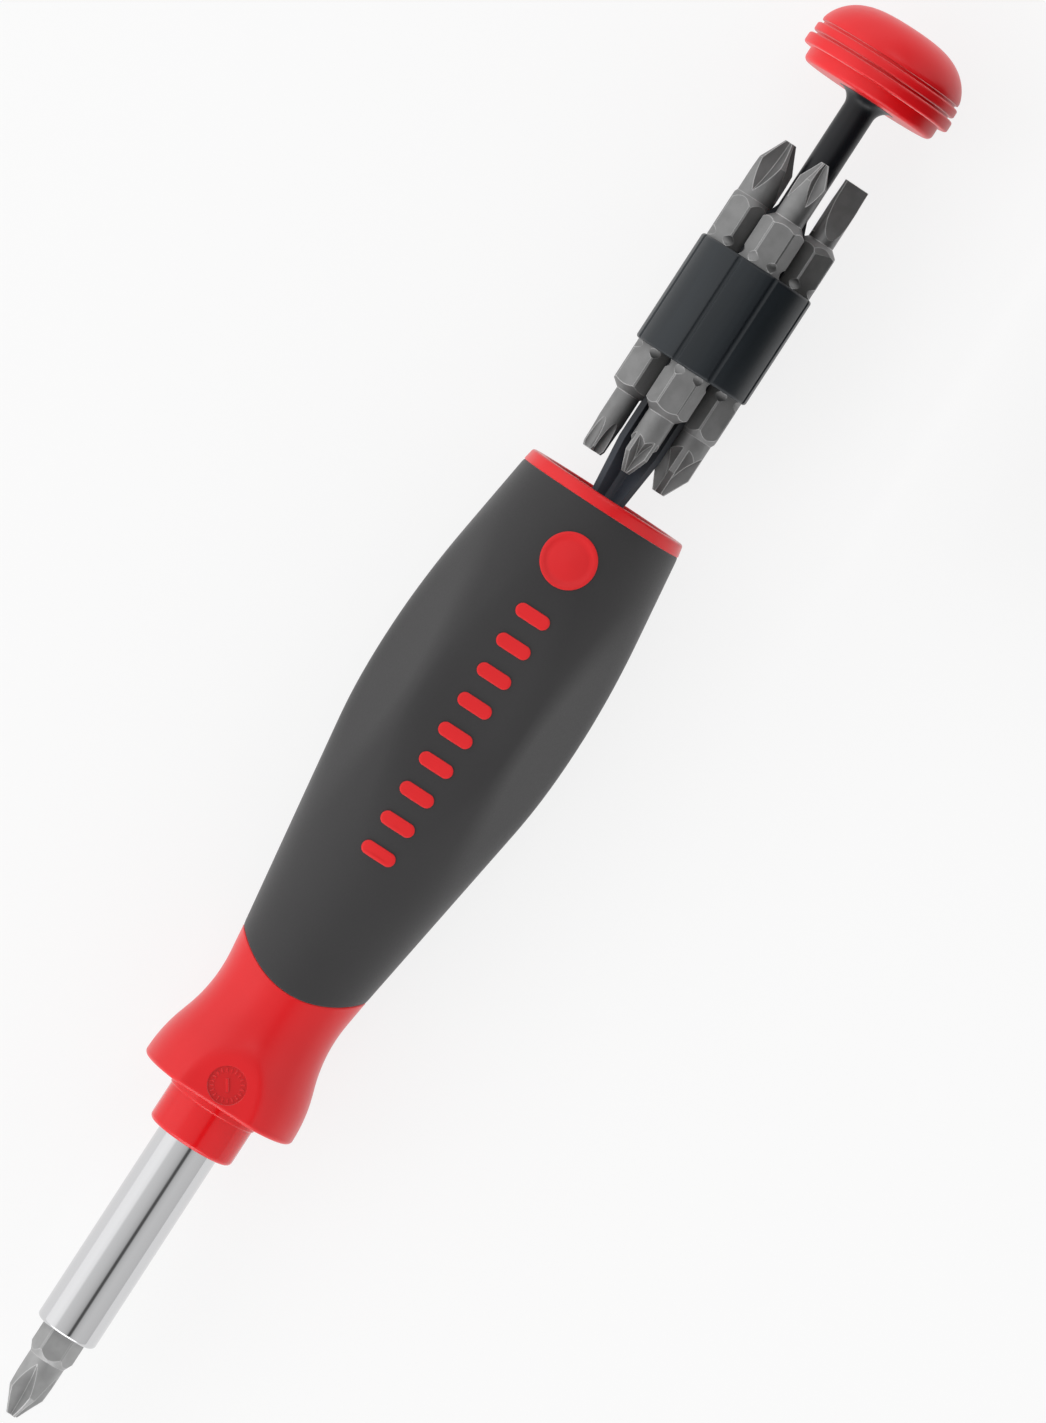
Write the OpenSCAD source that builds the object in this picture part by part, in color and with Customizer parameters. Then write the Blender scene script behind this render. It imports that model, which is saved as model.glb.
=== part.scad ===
// Pocket screwdriver with a pull-out bit magazine.
// The tool lies along X, from the bit tip to the cap. Z is up, towards the medallion.
// The origin is on the axis, where the steel shaft leaves the nose collar.
// The magazine is shown pulled out of the handle.

/* [Handle] */
// Diameter of the round rim at the back
rim_diameter = 26.6; // [25.6:0.1:28]
// Height of the red band at the rim
rim_band = 2; // [1:0.1:3]
// Rounding of the rim's outer edge
rim_round = 0.5; // [0.2:0.05:0.8]
// Largest width of the grip, over its corners
belly_width = 33.3; // [31:0.1:36]
// Largest width of the grip, over its flats
belly_flats = 29.8; // [28.5:0.1:30.5]
// Distance of the widest place from the rim
belly_depth = 35.4; // [32:0.1:40]
// Radius of the belly's long curve towards the rim
rear_arc = 150; // [120:1:180]
// Length of the belly's curve towards the rim
rear_run = 20; // [16:0.5:24]
// Radius of the belly's long curve towards the waist
front_arc = 100; // [90:1:120]
// Length of the belly's curve towards the waist
front_run = 14; // [10:0.5:16]
// Diameter of the waist in front of the grip
waist_diameter = 20.2; // [18.5:0.05:21]
// Distance of the waist in front of the grip's front edge
waist_drop = 7.5; // [6:0.1:9]
// Length of the bell from the waist to the flange's widest place
bell_length = 16.1; // [14:0.1:18]
// Largest diameter of the bell flange
flange_diameter = 25.8; // [24:0.1:27]
// Width of the flange over its upper and lower flat
flange_flats = 22.7; // [21.6:0.1:23.4]
// Height of the flange's edge in front of its widest place
flange_edge = 0.7; // [0.4:0.1:1]

/* [Soft grip] */
// Thickness of the soft grip over the core
grip_thickness = 1.6; // [1.2:0.1:1.9]
// Distance that the magazine bay reaches in front of the grip's edge at the sides
bay_past_grip = 1.9; // [0:0.1:4]
// Width of the handle at the grip's front edge
grip_end_width = 21.7; // [21:0.1:23]
// Distance that the U-shaped edge reaches further forward at top and bottom
grip_tongue = 4.4; // [3:0.1:5]
// Tilt of the facets towards the front
facet_tilt = 1.2; // [0.8:0.1:1.6]

/* [Inlays] */
// Diameter of the round medallion
medallion_diameter = 8.6; // [6:0.1:9]
// Distance of the medallion's centre from the rim
medallion_depth = 10.7; // [9:0.1:12]
// Width of the medallion's raised rim
medallion_rim = 0.8; // [0.5:0.1:1.5]
// Number of plain bars in the inlay strip
bar_count = 9; // [5:1:9]
// Length of a bar, across the tool
bar_length = 5.6; // [4:0.1:7]
// Width of a bar, along the tool
bar_width = 2.2; // [1.5:0.1:3]
// Distance of the first bar from the rim
bar_depth = 20.4; // [18:0.1:22]
// Distance from bar to bar
bar_pitch = 5.2; // [4:0.1:5.4]
// Height of the inlays over the grip
inlay_rise = 0.2; // [0.1:0.05:0.4]

/* [Magazine bay] */
// Bore of the rim, which takes the cap's plug
mouth_diameter = 22.4; // [21.6:0.1:22.8]
// Clearance around the bit carrier in its bore
carrier_clearance = 0.6; // [0.3:0.1:0.8]
// Clearance around the bits and around the spigot in their bores
bay_clearance = 0.3; // [0.2:0.05:0.4]
// Clearance below each piece that ends in the bay
end_clearance = 1.3; // [0.8:0.1:2]

/* [Shaft] */
// Diameter of the steel shaft
shaft_diameter = 10; // [9:0.1:11]
// Length of the shaft in front of the nose collar
shaft_reach = 34.1; // [30:0.1:40]
// Diameter of the shaft's root inside the handle
root_diameter = 9.4; // [9:0.1:9.6]
// Wall between the shaft's root and the magazine bay
root_wall = 7.1; // [5:0.1:9]
// Width over the two flats that lock the root
root_flats = 8.2; // [7.5:0.1:9]
// Length of the locking flats
root_flats_length = 8; // [5:0.1:10]
// Rounding of the shaft's front edge
shaft_round = 0.7; // [0.3:0.1:1]
// Diameter of the nose collar
collar_diameter = 14.2; // [13:0.1:16]
// Length of the nose collar
collar_length = 7.7; // [6:0.1:9]
// Rounding of the nose collar's front edge
collar_round = 0.9; // [0.4:0.1:1.2]
// Diameter of the holding magnet
magnet_diameter = 5.4; // [4:0.1:6]
// Length of the holding magnet
magnet_length = 3; // [2:0.1:4]
// Wire diameter of the spring ring in the socket
ring_wire = 0.5; // [0.4:0.05:0.6]

/* [Bits] */
// Width of a bit over its flats
bit_flats = 6.35; // [6.2:0.05:6.45]
// Width of a bit over its rounded corners
bit_corners = 7.16; // [7:0.02:7.2]
// Length of a double-ended bit
bit_length = 54; // [52:0.1:55]
// Length of each tip, in front of the hexagon
bit_tip = 11.2; // [10.4:0.1:11.6]
// Length of the cone between the hexagon and the neck
bit_shoulder = 1.3; // [1:0.1:1.5]
// Distance of the corner notches from the hexagon's ends
notch_place = 5.1; // [4:0.1:8]
// Length of a corner notch
notch_length = 1.6; // [1.2:0.1:2]
// Depth of a corner notch
notch_depth = 0.32; // [0.2:0.02:0.32]
// Length of the shaft's bit in front of the shaft
bit_reach = 14.8; // [13:0.1:16]

/* [Tips] */
// Neck of the larger cross tip
cross_two_neck = 5.9; // [5.4:0.1:6]
// End of the larger cross tip
cross_two_end = 1.9; // [1.6:0.1:2.2]
// Neck of the smaller cross tip
cross_one_neck = 4.6; // [4.2:0.1:5]
// End of the smaller cross tip
cross_one_end = 1.3; // [1:0.1:1.6]
// Neck of the larger cross tip with star ribs
star_two_neck = 5.8; // [5.2:0.1:6]
// End of the larger cross tip with star ribs
star_two_end = 2; // [1.6:0.1:2.3]
// Neck of the smaller cross tip with star ribs
star_one_neck = 4.45; // [4.2:0.05:5]
// End of the smaller cross tip with star ribs
star_one_end = 1.4; // [1:0.1:1.7]
// Width of the six-toothed tip
teeth_neck = 3.95; // [3.5:0.05:4.4]
// Width of the six-toothed tip at its chamfered end
teeth_end = 3.3; // [2.9:0.1:3.4]
// Neck of the narrow flat blade
narrow_blade_neck = 4.2; // [3.8:0.1:4.6]
// Neck of the wide flat blade
wide_blade_neck = 5.6; // [5.2:0.1:6]

/* [Magazine] */
// Distance that the magazine is pulled out
magazine_pull = 72.2; // [60:0.1:72.2]
// Diameter of the cap's dome
cap_dome = 24; // [23:0.1:25]
// Diameter of the cap's upper rib
cap_upper_rib = 24.5; // [23.6:0.1:26]
// Diameter of the cap's lower rib, which seats on the rim
cap_lower_rib = 25.05; // [24:0.05:26.5]
// Height of the dome
cap_dome_height = 6.1; // [5:0.1:7]
// Height of the upper rib
upper_rib_height = 1.4; // [1:0.1:1.8]
// Height of the lower rib
lower_rib_height = 1.8; // [1.4:0.1:2.2]
// Height of each groove between dome and ribs
cap_groove = 0.45; // [0.3:0.05:0.6]
// Depth of the grooves under the dome
cap_groove_depth = 0.5; // [0.3:0.05:0.7]
// Length of the plug that enters the rim
plug_length = 2.3; // [1.8:0.1:2.5]
// Rounding of the plug's lower edge
plug_round = 0.9; // [0.4:0.1:1]
// Diameter of the rod
rod_diameter = 5.05; // [4.8:0.05:5.1]
// Length of the rod's spigot below the bits' lower tips
rod_spigot = 15.5; // [12:0.1:18]
// Diameter of the trumpet flare under the cap
flare_diameter = 9.4; // [8:0.1:11]
// Reach of the ribs from the axis above the carrier
upper_rib_reach = 4.6; // [4:0.1:5]
// Reach of the ribs from the axis below the carrier
lower_rib_reach = 4.5; // [4:0.1:4.7]
// Length of the taper at the end of the spigot
spigot_taper = 19.6; // [16:0.1:24]
// Reach of the ribs at the end of the spigot
spigot_reach = 1.7; // [1.6:0.1:3]
// Diameter of the carrier
carrier_diameter = 19.2; // [19:0.1:19.6]
// Length of the carrier
carrier_length = 18.3; // [16:0.1:20]
// Distance of the carrier's top from the cap's seat
carrier_drop = 31.7; // [28:0.1:32]
// Rounding of the carrier's edges
carrier_round = 0.5; // [0.2:0.1:0.8]
// Distance of the bits' axes from the rod's axis
bit_circle = 5.84; // [5.8:0.02:5.9]
// Distance of the bits' upper tips from the cap's seat
bit_drop = 13.7; // [12:0.1:15]

/* [Hidden] */
$fn = 64;

// Clearances, and the overrun of every cut
plug_clearance = 0.05;
bit_clearance = 0.05;
magnet_clearance = 0.05;
ring_clearance = 0.08;
rib_clearance = 0.08;
overrun = 1;

// Bores of the magazine bay, from what goes into them when the magazine is closed
mouth_depth = plug_length + end_clearance;
bay_diameter = carrier_diameter + 2 * carrier_clearance;
bay_depth = carrier_drop + carrier_length + end_clearance;
bit_outer_flat = bit_circle + bit_flats / 2;
well_diameter = 2 * (norm([bit_outer_flat, bit_flats / 2 * tan(30)]) + bay_clearance);
well_depth = bit_drop + bit_length + end_clearance;
// The rod's cross ribs pass between the bits' inner corners
inner_corner = bit_corners / 2 * [-cos(30), sin(30)] + [bit_circle, 0];
rib_thickness = (inner_corner[0] - inner_corner[1]) / sin(45) - 2 * rib_clearance;
guide_diameter = 2 * (norm([lower_rib_reach, rib_thickness / 2]) + bay_clearance);
rod_length = bit_drop + bit_length + rod_spigot;
guide_depth = rod_length + end_clearance;

// Places along the tool, from the origin
grip_depth = guide_depth - bay_past_grip;
waist_depth = grip_depth + waist_drop;
flange_depth = waist_depth + bell_length;
handle_length = flange_depth + flange_edge;
rim_place = collar_length + handle_length;
seat_place = rim_place + magazine_pull;
shaft_front = -shaft_reach;
socket_bottom = shaft_front - bit_reach + bit_length + magnet_clearance;
root_end = rim_place - guide_depth - root_wall;

// Half sizes of the handle's outline, and its slopes
rim_radius = rim_diameter / 2;
belly_radius = belly_width / 2;
grip_end_radius = grip_end_width / 2;
waist_radius = waist_diameter / 2;
flange_radius = flange_diameter / 2;
bell_run = bell_length / 2;
bell_rise = (flange_radius - waist_radius) / 2;
bell_arc = arc_radius(bell_run, bell_rise);
waist_run = waist_drop / 2;
// The revolved form starts between a corner and a facet
start_turn = 15;

// Mould mark on the flange, and the foot of the nose collar
mark_diameter = 5.9;
mark_recess = 0.25;
mark_ring = 0.5;
mark_depth = flange_depth - mark_diameter / 2;
collar_step = 0.35;
collar_step_length = 0.8;

// Cap and rod details
plug_diameter = mouth_diameter - 2 * plug_clearance;
rib_edge_share = 0.25;
rod_socket = 4.5;
rod_neck = 4.2;
flare_round = (flare_diameter - rod_diameter) / 2;
gusset_start = 19.2;
gusset_full = 25.2;
rib_core = 3.1;
carrier_line_depth = 0.25;
carrier_line_width = 0.5;
carrier_line_turn = 18.8;

// Bit tips: neck, tip end, and the flutes of each kind
cone_half_angle = 26.5;
cross_flank_angle = 48;
cross_run_share = 1.52;
cross_root_share = 0.125;
star_run_share = 1.35;
star_root_share = 0.06;
star_wing_share = 0.16;
tooth_run_share = 1.33;
tooth_inner_share = 0.7;
tooth_flute_share = 0.28;
blade_thickness_share = 0.2;
blade_run_share = 0.8;
blade_width_share = 0.95;
blade_end_share = 0.97;
socket_lead_share = 1.5;
// Turns of the tips about their bits, as the photograph shows them
left_cross_turn = -21;
front_cross_turn = 24;
shaft_cross_turn = -18;
front_star_turn = 47;
right_star_turn = -2;
left_teeth_turn = 27;
right_blade_turn = 111;
ring_gap_angle = 40;
curve_steps = 5;
edge_steps = 3;
dome_steps = 12;
dome_side_power = 0.62;
dome_crown_power = 1.25;
pocket_turns = [0, 90, 180, 270];

// Frame: the parts are drawn upright and then laid down along X
module lay_down() {
    rotate([90, 0, 90]) children();
}

// Radius of an arc that falls by a depth after a run
function arc_radius(run, depth) = (pow(run, 2) + pow(depth, 2)) / (2 * depth);

// How far an arc falls away from its tangent after a run
function fall(radius, run) = radius - sqrt(pow(radius, 2) - pow(run, 2));

// Height of a place that is given by its depth from the rim
function height(depth) = rim_place - depth;

// Depths that are evenly spaced along a curve
function depths(from, to, steps) = [for (i = [0 : steps]) from + (to - from) * i / steps];

// Half outline of the handle as [radius, depth], from the rim to the flange's front
rim_edge = [
    for (i = [0 : edge_steps])
        let (turn = 90 * i / edge_steps)
        [rim_radius - rim_round * (1 - sin(turn)), rim_round * (1 - cos(turn))]
];
belly_rear = [
    for (d = depths(belly_depth - rear_run, belly_depth, curve_steps))
        [belly_radius - fall(rear_arc, belly_depth - d), d]
];
belly_front = [
    for (d = depths(belly_depth + front_run / curve_steps, belly_depth + front_run, curve_steps - 1))
        [belly_radius - fall(front_arc, d - belly_depth), d]
];
waist = [
    for (d = depths(waist_depth - waist_run, waist_depth + bell_run, curve_steps))
        [waist_radius + fall(bell_arc, d - waist_depth), d]
];
bell = [
    for (d = depths(flange_depth - bell_run + bell_run / curve_steps, flange_depth, curve_steps - 1))
        [flange_radius - fall(bell_arc, flange_depth - d), d]
];
flange_front = [
    for (i = [0 : edge_steps])
        let (turn = 90 * i / edge_steps)
        [flange_radius - rim_round * (1 - cos(turn)), handle_length - rim_round * (1 - sin(turn))]
];
handle_outline = concat(
    rim_edge, belly_rear, belly_front, [[grip_end_radius, grip_depth]], waist, bell, flange_front
);

// The handle's round outer form, drawn in by a wall thickness
module handle_round(inset) {
    rotate_extrude()
        polygon(concat(
            [[0, height(0)]],
            [for (place = handle_outline) [place[0] - inset, height(place[1])]],
            [[0, height(handle_length)]]
        ));
}

// One pair of opposite facets: tilted planes along the belly, and straight ones beside the flange
module facet_pair(inset, flange_width) {
    belly = belly_flats / 2 - inset;
    flange = flange_width / 2 - inset;
    waist = belly - (waist_depth - belly_depth) * tan(facet_tilt);
    side = [
        [belly + (belly_depth + overrun) * tan(facet_tilt), rim_place + overrun],
        [waist, height(waist_depth)], [flange, height(waist_depth)],
        [flange, collar_length - overrun]
    ];
    other = [for (i = [len(side) - 1 : -1 : 0]) [-side[i][0], side[i][1]]];
    rotate([90, 0, 0])
        linear_extrude(height = 2 * belly_width, center = true)
            polygon(concat(side, other));
}

// Three pairs of facets make the hexagon; the pair that faces up and down also cuts the flange
module handle_form(inset = 0) {
    intersection() {
        rotate([0, 0, start_turn]) handle_round(inset);
        rotate([0, 0, 90]) facet_pair(inset, flange_flats);
        rotate([0, 0, 30]) facet_pair(inset, belly_width);
        rotate([0, 0, 150]) facet_pair(inset, belly_width);
    }
}

// The stretch that the soft grip covers, with its U-shaped front edge
tongue_radius = arc_radius(grip_end_radius, grip_tongue);
tongue_centre = rim_place - grip_depth - grip_tongue + tongue_radius;

module grip_zone() {
    wide = 2 * belly_width;
    translate([-wide / 2, -wide / 2, tongue_centre])
        cube([wide, wide, rim_place - rim_band - tongue_centre]);
    translate([0, 0, tongue_centre])
        rotate([90, 0, 0]) cylinder(r = tongue_radius, h = wide, center = true);
}

// Prism shapes of the inlays, standing on the top facet
module medallion_prism(diameter) {
    translate([0, 0, rim_place - medallion_depth])
        rotate([-90, 0, 0]) cylinder(d = diameter, h = belly_width);
}

module bar_prisms() {
    for (i = [0 : bar_count - 1])
        translate([0, 0, rim_place - bar_depth - i * bar_pitch])
            rotate([-90, 0, 0]) linear_extrude(height = belly_width) bar_outline();
}

module bar_outline() {
    straight = bar_length - bar_width;
    square([straight, bar_width], center = true);
    for (side = [-1, 1])
        translate([side * straight / 2, 0]) circle(d = bar_width);
}

module handle_core() {
    color("firebrick") lay_down() difference() {
        handle_form();
        difference() {
            grip_zone();
            handle_form(grip_thickness);
        }
        bay_bores();
        shaft_form();
        mould_mark();
    }
}

// Stepped bores of the magazine bay, from the rim inwards
module bay_bores() {
    bore_from_rim(mouth_diameter, mouth_depth);
    bore_from_rim(bay_diameter, bay_depth);
    bore_from_rim(well_diameter, well_depth);
    bore_from_rim(guide_diameter, guide_depth);
}

module bore_from_rim(diameter, depth) {
    translate([0, 0, rim_place - depth]) cylinder(d = diameter, h = depth + overrun);
}

// Shallow ring on the flange's upper flat
module mould_mark() {
    translate([0, flange_flats / 2 - mark_recess, rim_place - mark_depth])
        rotate([-90, 0, 0]) difference() {
            cylinder(d = mark_diameter, h = overrun);
            translate([0, 0, -overrun]) cylinder(d = mark_diameter - 2 * mark_ring, h = 3 * overrun);
        }
}

module grip_sleeve() {
    color("dimgray") lay_down() difference() {
        intersection() {
            handle_form();
            grip_zone();
        }
        handle_form(grip_thickness);
        medallion_prism(medallion_diameter);
        bar_prisms();
    }
}

module medallion() {
    color("crimson") lay_down() difference() {
        intersection() {
            handle_form(-inlay_rise);
            medallion_prism(medallion_diameter);
        }
        handle_form(grip_thickness);
        difference() {
            medallion_prism(medallion_diameter - 2 * medallion_rim);
            handle_form(0);
        }
    }
}

module grip_inlays() {
    color("crimson") lay_down() difference() {
        intersection() {
            handle_form(-inlay_rise);
            bar_prisms();
        }
        handle_form(grip_thickness);
    }
}

// A disc with a fully rounded edge
module soft_disc(radius, edge) {
    rotate_extrude() {
        translate([radius - edge, 0]) circle(r = edge);
        translate([0, -edge]) square([radius - edge, 2 * edge]);
    }
}

module nose_collar() {
    radius = collar_diameter / 2;
    color("red") lay_down() difference() {
        union() {
            translate([0, 0, collar_round]) soft_disc(radius, collar_round);
            translate([0, 0, collar_round])
                cylinder(r = radius, h = collar_length - collar_round - collar_step_length);
            translate([0, 0, collar_round])
                cylinder(r = radius - collar_step, h = collar_length - collar_round);
        }
        shaft_form();
    }
}

// Outer form of the steel shaft, with two locking flats at its root
module shaft_form() {
    radius = shaft_diameter / 2;
    difference() {
        union() {
            translate([0, 0, shaft_front + shaft_round]) soft_disc(radius, shaft_round);
            translate([0, 0, shaft_front + shaft_round])
                cylinder(r = radius, h = -shaft_front - shaft_round);
            cylinder(d = root_diameter, h = root_end);
        }
        for (side = [-1, 1])
            translate([side * (root_flats / 2 + radius), 0, root_end - root_flats_length / 2 + overrun / 2])
                cube([2 * radius, 2 * shaft_diameter, root_flats_length + overrun], center = true);
    }
}

// A hexagon bar with one flat facing up
module hexagon_bar(flats, length) {
    cylinder(d = flats / cos(30), h = length, $fn = 6);
}

ring_place = shaft_front - bit_reach + bit_tip + notch_place + notch_length / 2;
ring_radius = bit_corners / 2 + ring_clearance + ring_wire / 2;

module holder_sleeve() {
    socket_flats = bit_flats + 2 * bit_clearance;
    socket_corners = bit_corners + 2 * bit_clearance;
    lead = shaft_round * socket_lead_share;
    color("silver") lay_down() difference() {
        shaft_form();
        intersection() {
            translate([0, 0, shaft_front - overrun])
                hexagon_bar(socket_flats, socket_bottom - shaft_front + overrun);
            translate([0, 0, shaft_front - overrun])
                cylinder(d = socket_corners, h = socket_bottom - shaft_front + 2 * overrun);
        }
        translate([0, 0, shaft_front - lead])
            cylinder(d1 = socket_corners + 2 * lead, d2 = socket_corners - 2 * lead, h = 2 * lead);
        translate([0, 0, socket_bottom - overrun])
            cylinder(d = magnet_diameter, h = magnet_length + overrun);
        translate([0, 0, ring_place - ring_wire / 2 - ring_clearance])
            cylinder(r = ring_radius + ring_wire / 2 + ring_clearance, h = ring_wire + 2 * ring_clearance);
    }
}

module holder_magnet() {
    color("gray") lay_down()
        translate([0, 0, socket_bottom]) cylinder(d = magnet_diameter, h = magnet_length);
}

module holder_ring() {
    color("lightgray") lay_down()
        translate([0, 0, ring_place])
            rotate([0, 0, ring_gap_angle / 2]) rotate_extrude(angle = 360 - ring_gap_angle)
                translate([ring_radius, 0]) circle(d = ring_wire);
}

// Half outline of a bit: hexagon with shoulders, necks and cones
module bit_blank(upper_neck, upper_end, lower_neck, lower_end) {
    corner = bit_corners / 2;
    top = bit_length;
    upper_cone = (upper_neck - upper_end) / 2 / tan(cone_half_angle);
    lower_cone = (lower_neck - lower_end) / 2 / tan(cone_half_angle);
    rotate_extrude()
        polygon([
            [0, 0], [lower_end / 2, 0], [lower_neck / 2, lower_cone],
            [lower_neck / 2, bit_tip - bit_shoulder], [corner, bit_tip],
            [corner, top - bit_tip], [upper_neck / 2, top - bit_tip + bit_shoulder],
            [upper_neck / 2, top - upper_cone], [upper_end / 2, top], [0, top]
        ]);
}

// Round notches in the hexagon's corners
module corner_notches() {
    wheel = arc_radius(notch_length / 2, notch_depth);
    for (place = [bit_tip + notch_place, bit_length - bit_tip - notch_place - notch_length])
        translate([0, 0, place + notch_length / 2]) rotate_extrude()
            translate([bit_corners / 2 - notch_depth + wheel, 0]) circle(r = wheel);
}

// Puts a grinding wheel beside a bit: it cuts down to the root at the tip's end, and runs out towards the hexagon
module beside_tip(root, wheel, turn) {
    rotate([0, 0, turn]) translate([root + wheel, 0, 0]) rotate([90, 0, 0]) children();
}

// Four flutes of a cross tip, ground with a wheel that has a V-shaped rim; the tip's end is at z = 0
module cross_flutes(neck) {
    root = neck * cross_root_share / 2;
    wheel = arc_radius(neck * cross_run_share, neck / 2 - root);
    half = neck / 2;
    foot = wheel - half / tan(cross_flank_angle);
    for (turn = [0 : 90 : 270])
        beside_tip(root, wheel, turn) rotate_extrude()
            polygon([[0, -half], [foot, -half], [wheel, 0], [foot, half], [0, half]]);
}

// Four ground faces of a cross tip with a ridged core, beside wings that stay whole
module star_faces(neck) {
    root = neck * star_root_share / 2;
    run = neck * star_run_share;
    wheel = arc_radius(run, neck / 2 - root);
    difference() {
        for (turn = [0 : 90 : 270])
            beside_tip(root, wheel, turn) cylinder(r = wheel, h = 2 * neck, center = true);
        for (turn = [0, 90])
            rotate([0, 0, turn]) cube([2 * neck, neck * star_wing_share, 4 * run], center = true);
    }
}

// Six flutes of a toothed tip, ground with a wheel that has a round rim
module tooth_flutes(width) {
    flute = width * tooth_flute_share;
    root = width * tooth_inner_share / 2;
    wheel = arc_radius(width * tooth_run_share, width / 2 - root);
    for (turn = [0 : 60 : 300])
        beside_tip(root, wheel, turn) rotate_extrude()
            translate([wheel - flute, 0]) circle(r = flute);
}

// What is cut away beside a flat blade, hollow ground on both faces
module blade_cut(neck) {
    run = bit_tip * blade_run_share;
    half = neck * blade_thickness_share / 2;
    grind = arc_radius(run, neck / 2 - half);
    for (side = [-1, 1]) {
        translate([0, side * (half + grind), 0])
            rotate([0, 90, 0]) cylinder(r = grind, h = 2 * neck, center = true);
        translate([side * neck * (blade_width_share + 1) / 2, 0, -run / 2 + overrun / 2])
            cube([neck, 2 * neck, run + overrun], center = true);
    }
}

// What is cut away at a tip, from its kind, neck and turn
module tip_cut(tip) {
    rotate([0, 0, tip[3]]) {
        if (tip[0] == "cross") cross_flutes(tip[1]);
        if (tip[0] == "star_cross") star_faces(tip[1]);
        if (tip[0] == "teeth") tooth_flutes(tip[1]);
        if (tip[0] == "blade") blade_cut(tip[1]);
    }
}

// A double-ended bit, standing on its lower tip
module driver_bit(upper, lower) {
    difference() {
        intersection() {
            hexagon_bar(bit_flats, bit_length);
            bit_blank(upper[1], upper[2], lower[1], lower[2]);
        }
        corner_notches();
        translate([0, 0, bit_length]) tip_cut(upper);
        mirror([0, 0, 1]) tip_cut(lower);
    }
}

// Tips: kind, neck diameter, diameter of the end, turn about the bit
left_cross = ["cross", cross_two_neck, cross_two_end, left_cross_turn];
front_cross = ["cross", cross_one_neck, cross_one_end, front_cross_turn];
shaft_cross = ["cross", cross_two_neck, cross_two_end, shaft_cross_turn];
front_star = ["star_cross", star_one_neck, star_one_end, front_star_turn];
right_star = ["star_cross", star_two_neck, star_two_end, right_star_turn];
left_teeth = ["teeth", teeth_neck, teeth_end, left_teeth_turn];
right_blade = ["blade", narrow_blade_neck, narrow_blade_neck * blade_end_share, right_blade_turn];
shaft_blade = ["blade", wide_blade_neck, wide_blade_neck * blade_end_share, 0];

module shaft_bit() {
    color("darkgray") lay_down()
        translate([0, 0, shaft_front - bit_reach]) driver_bit(shaft_blade, shaft_cross);
}

// Places a bit in one of the carrier's pockets, a flat facing outwards
module in_pocket(turn) {
    rotate([0, 0, turn]) translate([0, bit_circle, seat_place - bit_drop - bit_length]) children();
}

module bit_front() {
    color("gray") lay_down() in_pocket(pocket_turns[0]) driver_bit(front_cross, front_star);
}

module bit_left() {
    color("gray") lay_down() in_pocket(pocket_turns[3]) driver_bit(left_cross, left_teeth);
}

module bit_right() {
    color("gray") lay_down() in_pocket(pocket_turns[1]) driver_bit(right_blade, right_star);
}

module magazine_cap() {
    lower = cap_lower_rib / 2;
    upper = cap_upper_rib / 2;
    dome = cap_dome / 2;
    neck = min(dome, upper) - cap_groove_depth;
    lower_top = lower_rib_height;
    upper_base = lower_top + cap_groove;
    upper_top = upper_base + upper_rib_height;
    dome_base = upper_top + cap_groove;
    color("firebrick") lay_down() translate([0, 0, seat_place]) difference() {
        union() {
            rotate_extrude() cap_rib(lower, 0, lower_rib_height);
            cylinder(r = neck, h = dome_base);
            rotate_extrude() cap_rib(upper, upper_base, upper_rib_height);
            translate([0, 0, dome_base]) cap_dome_form(dome);
            plug();
        }
        translate([0, 0, -plug_length - overrun]) cylinder(d = rod_diameter, h = rod_socket + overrun);
    }
}

// A rib of the cap with softened edges, as a half outline
module cap_rib(radius, base, height) {
    edge = height * rib_edge_share;
    polygon([
        [0, base], [radius - edge, base], [radius, base + edge],
        [radius, base + height - edge], [radius - edge, base + height], [0, base + height]
    ]);
}

// The dome: a steep round side that turns into a low crown
module cap_dome_form(radius) {
    crown = [
        for (i = [0 : dome_steps])
            let (turn = 90 * i / dome_steps)
            [radius * pow(cos(turn), dome_side_power), cap_dome_height * pow(sin(turn), dome_crown_power)]
    ];
    rotate_extrude() polygon(concat([[0, 0]], crown));
}

module plug() {
    radius = plug_diameter / 2;
    translate([0, 0, plug_round - plug_length]) {
        soft_disc(radius, plug_round);
        cylinder(r = radius, h = plug_length - plug_round + lower_rib_height / 2);
    }
}

// Places below the cap's seat, along the rod
carrier_top = seat_place - carrier_drop;
carrier_base = carrier_top - carrier_length;
rod_top = seat_place - plug_length + rod_socket;
rod_base = seat_place - rod_length;
flare_top = seat_place - plug_length;

module magazine_rod() {
    radius = rod_diameter / 2;
    color("black") lay_down() {
        translate([0, 0, carrier_top]) cylinder(r = radius, h = rod_top - carrier_top);
        translate([0, 0, carrier_base]) cylinder(d = rod_neck, h = carrier_length);
        translate([0, 0, rod_base]) cylinder(d = rib_core, h = carrier_base - rod_base);
        flare();
        for (turn = [45, 135])
            rotate([0, 0, turn]) {
                rib_plate([
                    [radius / 2, seat_place - gusset_start], [upper_rib_reach, seat_place - gusset_full],
                    [upper_rib_reach, carrier_top]
                ]);
                rib_plate([
                    [lower_rib_reach, carrier_base], [lower_rib_reach, rod_base + spigot_taper],
                    [spigot_reach, rod_base]
                ]);
            }
    }
}

// A flat rib through the axis, from half of its outline
module rib_plate(side) {
    other = [for (i = [len(side) - 1 : -1 : 0]) [-side[i][0], side[i][1]]];
    rotate([90, 0, 0]) linear_extrude(height = rib_thickness, center = true)
        polygon(concat(side, other));
}

// Trumpet flare where the rod meets the cap
module flare() {
    radius = rod_diameter / 2;
    translate([0, 0, flare_top - flare_round]) rotate_extrude() difference() {
        square([radius + flare_round, flare_round]);
        translate([radius + flare_round, 0]) circle(r = flare_round);
    }
}

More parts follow.
